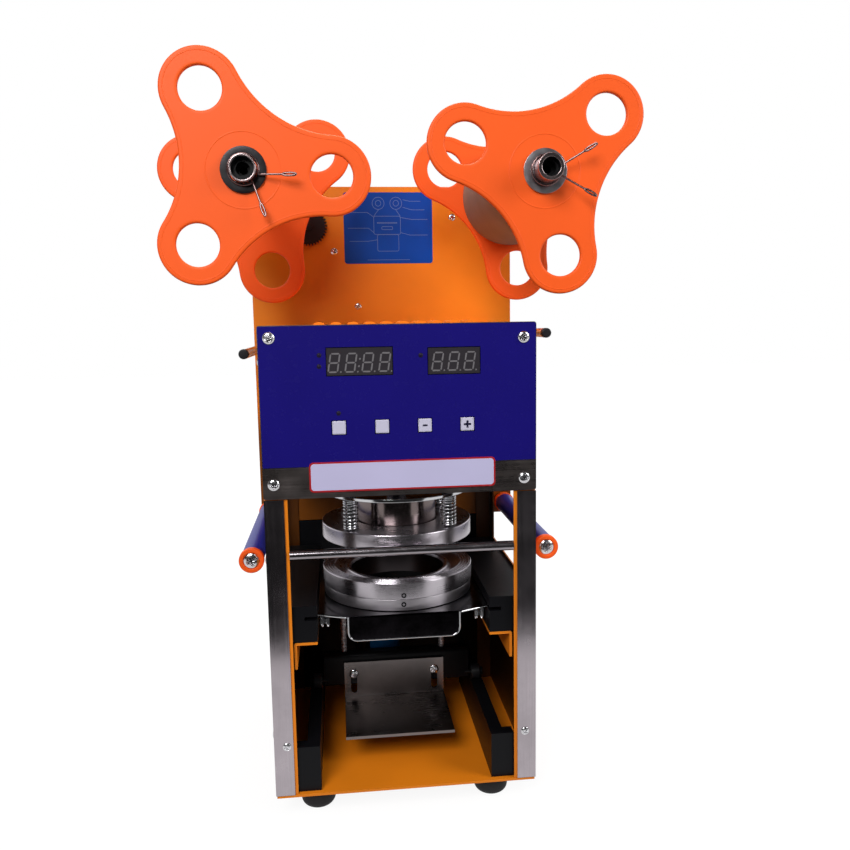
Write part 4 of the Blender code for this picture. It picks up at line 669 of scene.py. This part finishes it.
black_rubber = coated("black_rubber", (0.010, 0.008, 0.009), 0.72, 700.0, 0.15, 0.00006)
top_edge = [(0.01475 - 0.0009 * (1 - math.sin(a)), -0.0009 * (1 - math.cos(a)))
            for a in np.linspace(0.1, 1.57, 4)]
low_edge = [(0.00825 + 0.0065 * math.cos(a), -0.0155 - 0.0065 * math.sin(a))
            for a in np.linspace(0, 1.57, 12)]
foot_profile = [(0, 0), (0.0139, 0), *top_edge, *low_edge, (0.0042, -0.0220), (0.0042, -0.0140), (0, -0.0140)]
for number in (1, 2, 3, 4):
    foot_low, foot_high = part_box(f"foot_{number}")
    middle = ((foot_low.x + foot_high.x) / 2, (foot_low.y + foot_high.y) / 2, foot_high.z)
    stand_in(f"rubber_foot_{number}", [turned(foot_profile, middle, steps=72)], black_rubber, "housing",
             f"foot_{number}")


# A polished round bar of steel spans the front of the bay between the strips. It is ground along its length,
# so its fine lines run from side to side.
def stepped(start, *spans):
    """The profile of a solid turned piece from height start on. Each span is a radius and the height at its
    end."""
    profile = [(0, start)]
    for radius, end in spans:
        profile += [(radius, profile[-1][1]), (radius, end)]
    return profile + [(0, profile[-1][1])]


bar_steel = metal("bar_steel", (0.34, 0.31, 0.33), 0.20, (20.0, 700.0, 700.0), 0.25, 0.000004)
bar_low, bar_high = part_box("crossbar")
half = (bar_high.x - bar_low.x) / 2
stand_in("front_bar", [turned(stepped(-half, (0.004, half)), (bar_low + bar_high) / 2, rightwards, 48)],
         bar_steel, "housing", "crossbar")


# Grooved black rails carry the tray on folded brackets of painted sheet, and two bars of black steel lie on
# the floor for the wheels. A black sheet closes the bay towards the rear cover, as painted shade in the bay.
def at(x, y, z):
    """A point given in millimetres from the body's middle, its front sheet and the top of its floor plate."""
    return np.array((x, y, z)) / 1000 + np.array((0.0039103, -0.1187, floor_top))


black_paint = coated("black_paint", (0.0038, 0.0038, 0.0050), 0.38, 1100.0, 0.10, 0.00002, shine=0.15)
dress(black_paint, "tray_rail_left", "tray_rail_right", "floor_rail_left", "floor_rail_right")
dress(amber, "rail_bracket_left", "rail_bracket_right")
# Painted shade: a black sheet at the back of the bay.
build("bay_rear_shade_sheet", plate([round_corners((0, 0.0924), 0.2150, 0.1835, 0.003)], -0.0011, 0.0, 0.0003,
                              at(0, 198.3, 0)), black_paint, "housing")


# The mould is turned from aluminium in two rings. The upper one has four fine ridges near its rim and slopes
# down to a round lip. A thin dark sleeve lines both rings as painted shade in the bore, and two small set
# screws hold them at the front.
def soften(points, radius, closed=False):
    """A line with rounded corners. Each corner P becomes (1 - t)^2 A + 2 t (1 - t) P + t^2 B for t from 0 to
    1, where A and B lie on its two sides, the radius away from P or at most half way along."""
    points = np.asarray(points, float)
    share = np.linspace(0, 1, 5)[:, None]
    line = [] if closed else [points[:1]]
    for number in range(len(points)) if closed else range(1, len(points) - 1):
        corner, ends = points[number], []
        for other in (points[number - 1], points[(number + 1) % len(points)]):
            away = np.linalg.norm(other - corner)
            ends.append(corner + (other - corner) * min(radius / away, 0.48))
        line.append((1 - share) ** 2 * ends[0] + 2 * share * (1 - share) * corner + share ** 2 * ends[1])
    if not closed:
        line.append(points[-1:])
    return np.concatenate(line)


def hollow_ring(inner, outer, start, end, rounding):
    """The closed profile of a ring, with its four edges rounded."""
    return soften([(inner, start), (outer, start), (outer, end), (inner, end)], rounding, True)


upright_marks = (60.0, 60.0, 2600.0)
turned_metal = metal("turned_aluminium", (0.57, 0.53, 0.57), 0.29, upright_marks, 0.20, 0.000004, 0.65, True)
dull_metal = metal("dull_aluminium", (0.62, 0.58, 0.62), 0.40, upright_marks, 0.20, 0.000004, 0.4, True)
bore_shade_steel = metal("bore_shade_steel", (0.045, 0.038, 0.040), 0.34, upright_marks, 0.20, 0.000004)
ram_depth = 74
mould_top = at(0, ram_depth, 175)
ridges = []
for ridge in range(4):
    start = 0.0564 + ridge * 0.0024
    ridges += [(start, -0.0016), (start + 0.0004, 0.0), (start + 0.0012, 0.0), (start + 0.0016, -0.0016)]
lip_arc = [(0.0445 + 0.0025 * math.cos(a), -0.0050 + 0.0025 * math.sin(a)) for a in np.linspace(2.7, 0.3, 14)]
outside = soften([(0.0664, 0), (0.0670, -0.0006), (0.0670, -0.0142), (0.0420, -0.0142), (0.0420, -0.0052)],
                 0.0004)
upper = np.concatenate([outside, lip_arc, soften([(0.0482, -0.0062), *ridges, (0.0659, -0.0016)], 0.0004)])
stand_in("mould_top_ring", [turned(upper, mould_top, steps=192, closed=True)], turned_metal, "tray_carriage",
         "mould_upper_ring", 30)
# Painted shade: a dark lining inside the mould's bore.
shade_sleeve = hollow_ring(0.0414, 0.0419, -0.0056, -0.0238, 0.0001)
build("mould_shade_sleeve", [turned(shade_sleeve, mould_top, steps=144, closed=True)], bore_shade_steel, "tray_carriage")
lower = hollow_ring(0.0500, 0.0662, 0, -0.0097, 0.0006)
stand_in("mould_base_ring", [turned(lower, at(0, ram_depth, 160.5), steps=192, closed=True)], dull_metal,
         "tray_carriage", "mould_lower_ring")


def socket_screw(middle, radius):
    """A set screw: a flat round end with a rounded rim, and a round socket half as wide."""
    profile = stepped(-0.4 * radius, (0.5 * radius, 0.3 * radius), (radius, -0.6 * radius))
    return turned(soften(profile, 0.1 * radius), middle, frontwards, 32)


build("mould_screws", [socket_screw(at(0.3, 7.1, 164.3), 0.0021), socket_screw(at(0.2, 7.9, 156.4), 0.0021)],
      black_paint, "tray_carriage")

# The tray is polished steel, coloured nearly black as a painted dark reflection, with bright steel wires
# along its edges as painted highlights. Its front is folded down as a lip. Two threaded posts hang under it,
# and two bolts with hexagon nuts hold each of its wings.
# Painted dark reflection: the polished steel is coloured nearly black.
polish_painted_dark = metal("polish_painted_dark", (0.024, 0.021, 0.025), 0.16, (400.0, 400.0, 400.0), 0.20, 0.000004)
right = [(46.5, 2), (54.5, 5), (70.5, 12), (77.5, 15), (80.5, 20), (80.5, 126), (76.5, 130)]
right += [(69.5 * math.cos(a), ram_depth + 69.5 * math.sin(a)) for a in np.radians(np.linspace(48, 90, 20))]
wings = np.array(right + [(-x, y) for x, y in reversed(right[:-1])]) / 1000
hole = circle(0.050, 128, (0, ram_depth / 1000), -1)
tray = plate([soften(wings, 0.0015, True), hole], -0.0020, 0.0, 0.0005, at(0, 0, 150.5), (0, 0, 1))
lip = [(-46.5, -8), (-46.5, -14), (-45.6, -17.4), (-43.9, -19.4), (-40.5, -21), (40.5, -21), (43.9, -19.4),
       (45.6, -17.4), (46.5, -14), (46.5, 0), (-46.5, 0)]
lip = soften(np.array(lip) / 1000, 0.0016, True)
lip_top = at(0, 2, 150.4)
tray += plate([lip], -0.0020, 0.0, 0.0004, lip_top)
stand_in("tray_and_lip", tray, polish_painted_dark, "tray_carriage", "tray_plate")


def tube(line, radius, steps=12):
    """A round wire along a line. Each point gets a circle square to the line's direction, whose first spoke
    is the one before it less its share along the new direction, so that the wire doesn't twist."""
    line = np.asarray(line, float)
    ways = np.gradient(line, axis=0)
    ways /= np.linalg.norm(ways, axis=1, keepdims=True)
    spoke = axes_of(ways[0])[1]
    angle = full_turn(steps)[:, None]
    rings = []
    for point, way in zip(line, ways):
        spoke = spoke - way * spoke.dot(way)
        spoke = spoke / np.linalg.norm(spoke)
        rings.append(point + radius * (np.cos(angle) * spoke + np.sin(angle) * np.cross(way, spoke)))
    return patch(close_ends(np.stack(rings)))


def threaded(middle, radius, pitch, low, high):
    """An upright threaded rod. Its radius falls by 0.3 pitch * (1 + cos(2 pi height / pitch - angle)) / 2."""
    height = np.arange(low, high + pitch / 12, pitch / 6)[:, None]
    angle = full_turn(28)[None, :]
    reach = radius - 0.3 * pitch * (1 + np.cos(2 * np.pi * height / pitch - angle)) / 2
    grid = np.stack([reach * np.cos(angle), reach * np.sin(angle), height * np.ones_like(angle)], axis=-1)
    ends = [grid[number:][:1] * (0, 0, 1) for number in (0, -1)]
    return patch(np.concatenate([ends[0], grid, ends[1]]) + np.asarray(middle))


def hexagon(middle, radius, low, high):
    """A hexagon nut with bevelled ends, as a turned profile of six steps."""
    bevel = 0.12 * radius
    profile = [(0, low), (radius - bevel, low), (radius, low + bevel * 0.6), (radius, high - bevel * 0.6),
               (radius - bevel, high), (0, high)]
    return turned(profile, middle, steps=6)


bright_steel = metal("bright_steel", (0.70, 0.70, 0.72), 0.14, contrast=0.12, bump=0.000004)
edge = lip[(lip[:, 1] < -0.003)]
edge = edge[np.argsort(np.unwrap(np.arctan2(edge[:, 1] + 0.003, edge[:, 0])))]
edge = np.concatenate([[(-0.0465, -0.0004)], edge, [(0.0465, -0.0004)]])
edge = np.stack([edge[:, 0] * 0.995, 0 * edge[:, 0], edge[:, 1] * 0.985], axis=1)
# Painted highlights: bright steel wires along the lip's edge and the wings' fronts.
wing_front = ((47.5, 3.1), (54.5, 5.7), (62.5, 9.2), (71.0, 12.9))
rim = [tube(lip_top + edge, 0.0007)]
for side in (-1, 1):
    rim.append(tube([at(side * x, y, 149.5) for x, y in wing_front], 0.0009))
build("tray_lip_highlight", rim, bright_steel, "tray_carriage")
posts = [threaded(at(side * 47.7 - 3, 118, 0), 0.0030, 0.0028, 0.0723, 0.1490) for side in (-1, 1)]
build("tray_posts", posts, metal("post_zinc", (0.88, 0.85, 0.86), 0.55), "tray_carriage")
hardware = []
for side in (-1, 1):
    for x in (68.2, 63.1):
        bolt = at(side * x, 22, 150.5)
        hardware.append(threaded(bolt, 0.0016, 0.0008, -0.0145, -0.0010))
        hardware += [hexagon(bolt, 0.0024, -0.0125, -0.0078), hexagon(bolt, 0.0024, -0.0074, -0.0021)]
build("tray_bolts", hardware, bright_steel, "tray_carriage")

# A folded black plate hangs from the posts. Two stub axles stand out of its sides, and black plastic wheels
# on them run on the floor bars.
axle_depth = 112.5
axle_height = 46.3
inner_bend = [(115 + math.cos(a), 68 + math.sin(a)) for a in np.linspace(math.pi, math.pi / 2, 6)]
outer_bend = [(115 + 4 * math.cos(a), 68 + 4 * math.sin(a)) for a in np.linspace(math.pi / 2, math.pi, 9)]
fold = np.array([(111, 42), (114, 42), *inner_bend, (122.5, 69), (122.5, 72), *outer_bend]) / 1000
hanger = plate([soften(fold, 0.0003, True)], -0.0705, 0.0705, 0.0004, at(0, 0, 0), rightwards, rearwards)
axle = soften(stepped(0, (0.0022, 0.0161), (0.0040, 0.0175)), 0.0004)
for side in (-1, 1):
    hanger.append(turned(axle, at(side * 66.5, axle_depth, axle_height), (side, 0, 0), 32))
stand_in("hanging_plate", hanger, black_paint, "tray_carriage", "cross_plate")
wheel = hollow_ring(0.0025, 0.0070, -0.00425, 0.00425, 0.0008)
for side, name in ((-1, "left"), (1, "right")):
    tyre = turned(wheel, at(side * 76.75, axle_depth, axle_height), (side, 0, 0), 64, True)
    stand_in(f"wheel_tyre_{name}", [tyre], black_moulding, f"wheel_{name}", f"carriage_wheel_{name}")

# The cup shelf is dull dark sheet, folded up behind. It hangs on two screws with cross heads, which slide in
# its slots.
dress(metal("shelf_steel", (0.21, 0.185, 0.180), 0.30, (30.0, 900.0, 30.0), 0.35, 0.00001), "cup_shelf")
heads = [cross_head(at(x, 108.2, 53.1), frontwards, 0.0044, turn) for x, turn in ((-42.0, 0.6), (36.0, 0.2))]
build("shelf_screws", heads, zinc, "tray_carriage")

# The tray's motor is a plated steel can with a bearing boss on top. A blank blue label goes round two thirds
# of it.
motor_place = at(-16.5, 155, 0)
motor_profile = soften(stepped(0.1180, (0.0060, 0.1140), (0.0225, 0.0003)), 0.0012)
stand_in("tray_motor_can", [turned(motor_profile, motor_place, steps=96)], bright_steel, "housing",
         "tray_motor")
angle = np.radians(np.linspace(-112, 25, 60))
ring = []
for reach, z in ((0.02240, 0.018), (0.02262, 0.018), (0.02262, 0.084), (0.02240, 0.084)):
    ring.append(np.stack([reach * np.cos(angle), reach * np.sin(angle), np.full(60, z)], axis=1))
build("motor_label", [patch(close_ends(np.stack(ring, axis=1)) + motor_place)],
      coated("motor_label", (0.004, 0.115, 0.350), 0.36, 1800.0, 0.06, 0.000005), "housing")

# The press head: a steel plate on its ram carries the aluminium heater block, and the pressing disc hangs
# round it on four threaded pins with nuts.
ram_foot = at(0, ram_depth, 0)
head = soften(stepped(0.2425, (0.0660, 0.2455), (0.0090, 0.3405)), 0.0006)
stand_in("head_and_ram", [turned(head, ram_foot, steps=144)], bright_steel, "press_head", "head_plate")
# Painted shade: the heater's aluminium is coloured much darker than the other turned aluminium.
heater_shaded_metal = metal("heater_aluminium_shaded", (0.21, 0.17, 0.165), 0.18, upright_marks, 0.20, 0.000004, 0.5, True)
block = soften(stepped(0.2040, (0.0360, 0.2422)), 0.0010)
stand_in("heater", [turned(block, ram_foot, steps=144)], heater_shaded_metal, "press_head", "heater_block")
disc = hollow_ring(0.0370, 0.0666, 0.2020, 0.2155, 0.0011)
stand_in("press_ring", [turned(disc, ram_foot, steps=192, closed=True)], turned_metal, "press_disc",
         "pressing_disc")
dark_steel = metal("dark_steel", (0.115, 0.108, 0.112), 0.30, (120.0, 900.0, 900.0), 0.30, 0.00001)
pins = []
for turn in np.radians((45, 135, 225, 315)):
    pin = ram_foot + (0.059 * math.cos(turn), 0.059 * math.sin(turn), 0)
    pins += [threaded(pin, 0.0027, 0.0008, 0.2140, 0.2578), hexagon(pin, 0.0052, 0.2458, 0.2498)]
build("guide_pins", pins, dark_steel, "press_disc")

# Four springs of bright round wire stand on the pins, with their end coils wound close. Each coil gets a
# mesh of its own.
coils = 10
close_rise = 0.0016
share = np.linspace(0, 1, coils * 36)
turn = 2 * np.pi * coils * share
open_share = np.clip((share - 0.10) / 0.80, 0, 1)
climb = 0.35 * (0.5 - 0.5 * np.cos(np.pi * open_share)) + 0.65 * open_share
end_climb = close_rise * np.clip(share / 0.10, 0, 1) + close_rise * np.clip((share - 0.90) / 0.10, 0, 1)
for number in (1, 2, 3, 4):
    spring_low, spring_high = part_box(f"press_spring_{number}")
    rise = end_climb + climb * (spring_high.z - spring_low.z - 3 * close_rise)
    wire = np.stack([0.0057 * np.cos(turn), 0.0057 * np.sin(turn), rise + 0.0008], axis=1)
    foot = ((spring_low.x + spring_high.x) / 2, (spring_low.y + spring_high.y) / 2, spring_low.z)
    coil = stand_in(f"coil_{number}", [tube(wire + foot, 0.00078, 10)], bright_steel, "press_disc",
                    f"press_spring_{number}")
    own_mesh(coil)

# Inside the housing a folded bridge of stainless sheet guides the ram. The press motor, a dark steel can,
# stands on it.
dress(strip_steel, "press_bridge")
dress(dark_steel, "press_motor")

# The reels turn on shafts through the back plate. Each reel has two three-lobed flanges of half-gloss orange
# plastic, with a round hole in each lobe, a faint raised boss and a faint raised line round the edge.
reel_orange = coated("reel_orange", (1.0, 0.118, 0.012), 0.45, 1300.0, 0.03, 0.000012, shine=0.25)
reel_x = 112.7
reel_z = 501.3
lobe_reach = 0.0642


def spider(angles, inward=0.0):
    """The outline of a flange, drawn in by a distance: a round end on each lobe and a hollow arc between
    lobes. The hollow's radius w follows from the lobe's reach R, its radius L and the waist W, as it meets
    both lobes without a corner: w = (L^2 - W^2 - R^2 + R W) / (2 W - R - 2 L)."""
    reach, lobe, waist = lobe_reach, 0.0293, 0.0462
    hollow = (lobe ** 2 - waist ** 2 - reach ** 2 + reach * waist) / (2 * waist - reach - 2 * lobe)
    points = []
    for angle in np.radians(angles):
        centre = reach * np.array((math.cos(angle), math.sin(angle)))
        between = angle + math.pi / 3
        pit = (waist + hollow) * np.array((math.cos(between), math.sin(between)))
        meet = math.atan2(*(pit - centre)[::-1])
        swing = (meet - angle + math.pi) % (2 * math.pi) - math.pi
        turn = np.linspace(angle - swing, angle + swing, 56)
        points.append(centre + (lobe - inward) * np.stack([np.cos(turn), np.sin(turn)], axis=1))
        half = math.atan2(reach * math.sin(math.pi / 3), waist + hollow - reach / 2)
        turn = np.linspace(between + math.pi + half, between + math.pi - half, 26)[1:-1]
        points.append(pit + (hollow + inward) * np.stack([np.cos(turn), np.sin(turn)], axis=1))
    return np.concatenate(points)


def raised_line(line, middle, width, height):
    """A low rounded ridge on a face that looks to the front, along a closed line."""
    angle = np.linspace(-0.3, math.pi + 0.3, 9)
    flat = line[None] + (np.cos(angle) * width / 2)[:, None, None] * outline_normals(line)[None]
    out = np.sin(angle)[:, None] * height * np.ones(len(line))[None]
    grid = np.stack([flat[..., 0], -out, flat[..., 1]], axis=-1)
    return patch(np.concatenate([grid, grid[:1]]) + np.asarray(middle))


for reel, x, end, front, angles in (
        ("take_up", -reel_x, "front", -16.6, (116.5, 236.5, 356.5)),
        ("take_up", -reel_x, "rear", 113.4, (37.1, 157.1, 277.1)),
        ("supply", reel_x, "front", -16.6, (41.4, 161.4, 281.4)),
        ("supply", reel_x, "rear", 113.4, (37.0, 157.0, 277.0))):
    outlines = [spider(angles), circle(0.0104, 96, way=-1)]
    for lobe in np.radians(angles):
        outlines.append(circle(0.0158, 96, lobe_reach * np.array((math.cos(lobe), math.sin(lobe))), -1))
    middle = at(x, front, reel_z)
    flange = plate(outlines, -0.0045, 0.0, 0.0015, middle)
    flange += [raised_line(circle(0.0275, 96), middle, 0.0012, 0.00022),
               raised_line(spider(angles, 0.0034), middle, 0.0008, 0.00018)]
    stand_in(f"{reel}_{end}_spider", flange, reel_orange, f"{reel}_reel", f"{reel}_{end}_flange")


# The shafts are bright steel, bored at the front. A dull washer lies on each reel, and a spring-wire clip
# behind the shaft's end holds it: a ring with two legs that end in small loops.
def clip_wire(middle, tips):
    """A wire from one tip to the shaft, round its far side and out to the other tip. Each tip is an eye: the
    ellipse centre + 5.2 mm * cos t * way + 1.05 mm * sin t * side, where way is the direction of its leg."""
    middle = np.asarray(middle, float)
    reach, gap, eye_length, eye_width = 0.0112, 0.30, 0.0052, 0.00105
    headings = [math.atan2(tip[2] - middle[2], tip[0] - middle[0]) for tip in tips]
    aim = sum(headings) / 2
    turn = np.linspace(aim + gap, aim - gap + 2 * np.pi, 60)
    around = np.stack([reach * np.cos(turn), np.zeros(60), reach * np.sin(turn)], axis=1) + middle
    legs = []
    for tip, touch in ((tips[0], around[0]), (tips[1], around[-1])):
        way = (tip - touch) / np.linalg.norm(tip - touch)
        side = np.cross((0, 1, 0), way)
        eye = np.linspace(3 * np.pi, np.pi, 32)[:, None]
        loop = tip - eye_length * way + eye_length * way * np.cos(eye) + eye_width * side * np.sin(eye)
        legs.append(np.concatenate([loop, touch + (loop[-1] - touch) * np.linspace(0.96, 0, 16)[:, None]]))
    return np.concatenate([legs[0][:-1], around, legs[1][::-1][1:]])


bore_shade_black = coated("bore_shade_black", (0.0060, 0.0058, 0.0065), 0.45, 900.0, 0.1, 0.00001, shine=0.2)
clip_steel = metal("clip_steel", (0.22, 0.145, 0.14), 0.24, contrast=0.2, bump=0.000003)
shaft_steel = metal("shaft_steel", (0.40, 0.32, 0.32), 0.27, contrast=0.12, bump=0.000002)
for reel, x, nose, bore, clip_y, tips, grey in (
        ("take_up", -reel_x, 0.0261, 0.0084, -19.8, ((-74.2, -26, 496.9), (-97.5, -26, 467.2)), 0.045),
        ("supply", reel_x, 0.0361, 0.0070, -21.5, ((148.9, -30, 519.0), (148.9, -30, 481.0)), 0.420)):
    body = f"{reel}_reel"
    axis = at(x, 0, reel_z)
    shaft = stepped(nose - 0.025, (bore, nose), (0.0100, -0.1182), (0.0140, -0.1242), (0.0100, -0.2002),
                    (0.0140, -0.2062))
    stand_in(f"{reel}_axle", [turned(soften(shaft, 0.0006), axis, frontwards, 72)], shaft_steel, body,
             f"{reel}_shaft")
    hollow = stepped(nose - 0.0248, (0.0030, nose - 0.0130), (0.0052, nose - 0.0060),
                     (bore - 0.0003, nose - 0.0008), (bore + 0.0001, nose - 0.0252))
    # Painted shade: the shaft's bore is lined near-black.
    build(f"{reel}_bore", [turned(hollow, axis, frontwards, 64)], bore_shade_black, body)
    washer = hollow_ring(0.0104, 0.0168, 0, 0.0015, 0.0003)
    dull = metal(f"{reel}_washer_steel", (grey, grey * 0.95, grey), 0.34, contrast=0.4)
    stand_in(f"{reel}_flat_washer", [turned(washer, at(x, -16.9, reel_z), frontwards, 72, True)], dull, body,
             f"{reel}_washer")
    clip = clip_wire(at(x, clip_y, reel_z), [at(*tip) for tip in tips])
    build(f"{reel}_clip", [tube(clip, 0.00075)], clip_steel, body)
core_card = coated("core_card", (0.300, 0.225, 0.180), 0.78, 420.0, 0.16, 0.00008)
core = hollow_ring(0.0388, 0.0428, 0, 0.1249, 0.0005)
stand_in("card_core", [turned(core, at(reel_x, 113.1, reel_z), frontwards, 144, True)], core_card,
         "supply_reel", "supply_core")

# Black plastic gears behind the take-up reel lead to the film motor. It is a plated steel can behind the back
# plate.
dress(black_moulding, "take_up_gear", "drive_gear")
motor_low, motor_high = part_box("film_motor")
motor_face = ((motor_low.x + motor_high.x) / 2, motor_low.y, (motor_low.z + motor_high.z) / 2)
can = soften(stepped(0, (0.0160, -0.0400)), 0.0012)
stand_in("film_motor_can", [turned(can, motor_face, frontwards, 96)], bright_steel, "housing", "film_motor")

# The film rollers are dark blue anodised tubes between orange plastic caps. Each is held by a screw with a
# cross head at its front.
roller_blue = coated("roller_blue", (0.020, 0.026, 0.290), 0.42, 1500.0, 0.10, 0.000006, shine=0.35)
roller = stepped(-0.0062, (0.0093, -0.1730), (0.0040, -0.1870))
front_cap = soften(stepped(-0.0015, (0.0067, 0), (0.0103, -0.0060)), 0.0009)
rear_cap = hollow_ring(0.0041, 0.0103, -0.1734, -0.1794, 0.0009)
for side, name in ((-1, "left"), (1, "right")):
    body = f"roller_{name}"
    roller_end = at(side * 123.7, 16.7, 196.9)
    stand_in(f"roller_tube_{name}", [turned(roller, roller_end, frontwards, 72)], roller_blue, body,
             f"film_roller_{name}")
    build(f"roller_caps_{name}", [turned(front_cap, roller_end, frontwards, 72),
                                  turned(rear_cap, roller_end, frontwards, 72, True)], reel_orange, body)
    screw = cross_head(at(side * 123.7, 17.9, 196.9), frontwards, 0.0062, 0.9 + side * 0.5, 0.36)
    build(f"roller_screw_{name}", [screw], zinc, body)

# Two bright steel rods lead the film up to the reels. They stand out towards the front, and each has a dark
# bush at its end.
rod = soften(stepped(-0.0050, (0.0040, -0.1853)), 0.0006)
bush = soften(stepped(0, (0.0040, -0.0056)), 0.0009)
for side, name, z in ((-1, "left", 366.0), (1, "right", 378.5)):
    rod_end = at(side * 122, 12, z)
    stand_in(f"lead_rod_{name}", [turned(rod, rod_end, frontwards, 48)], bright_steel, "housing",
             f"guide_rod_{name}")
    build(f"rod_end_{name}", [turned(bush, rod_end, frontwards, 48)], black_moulding, "housing")
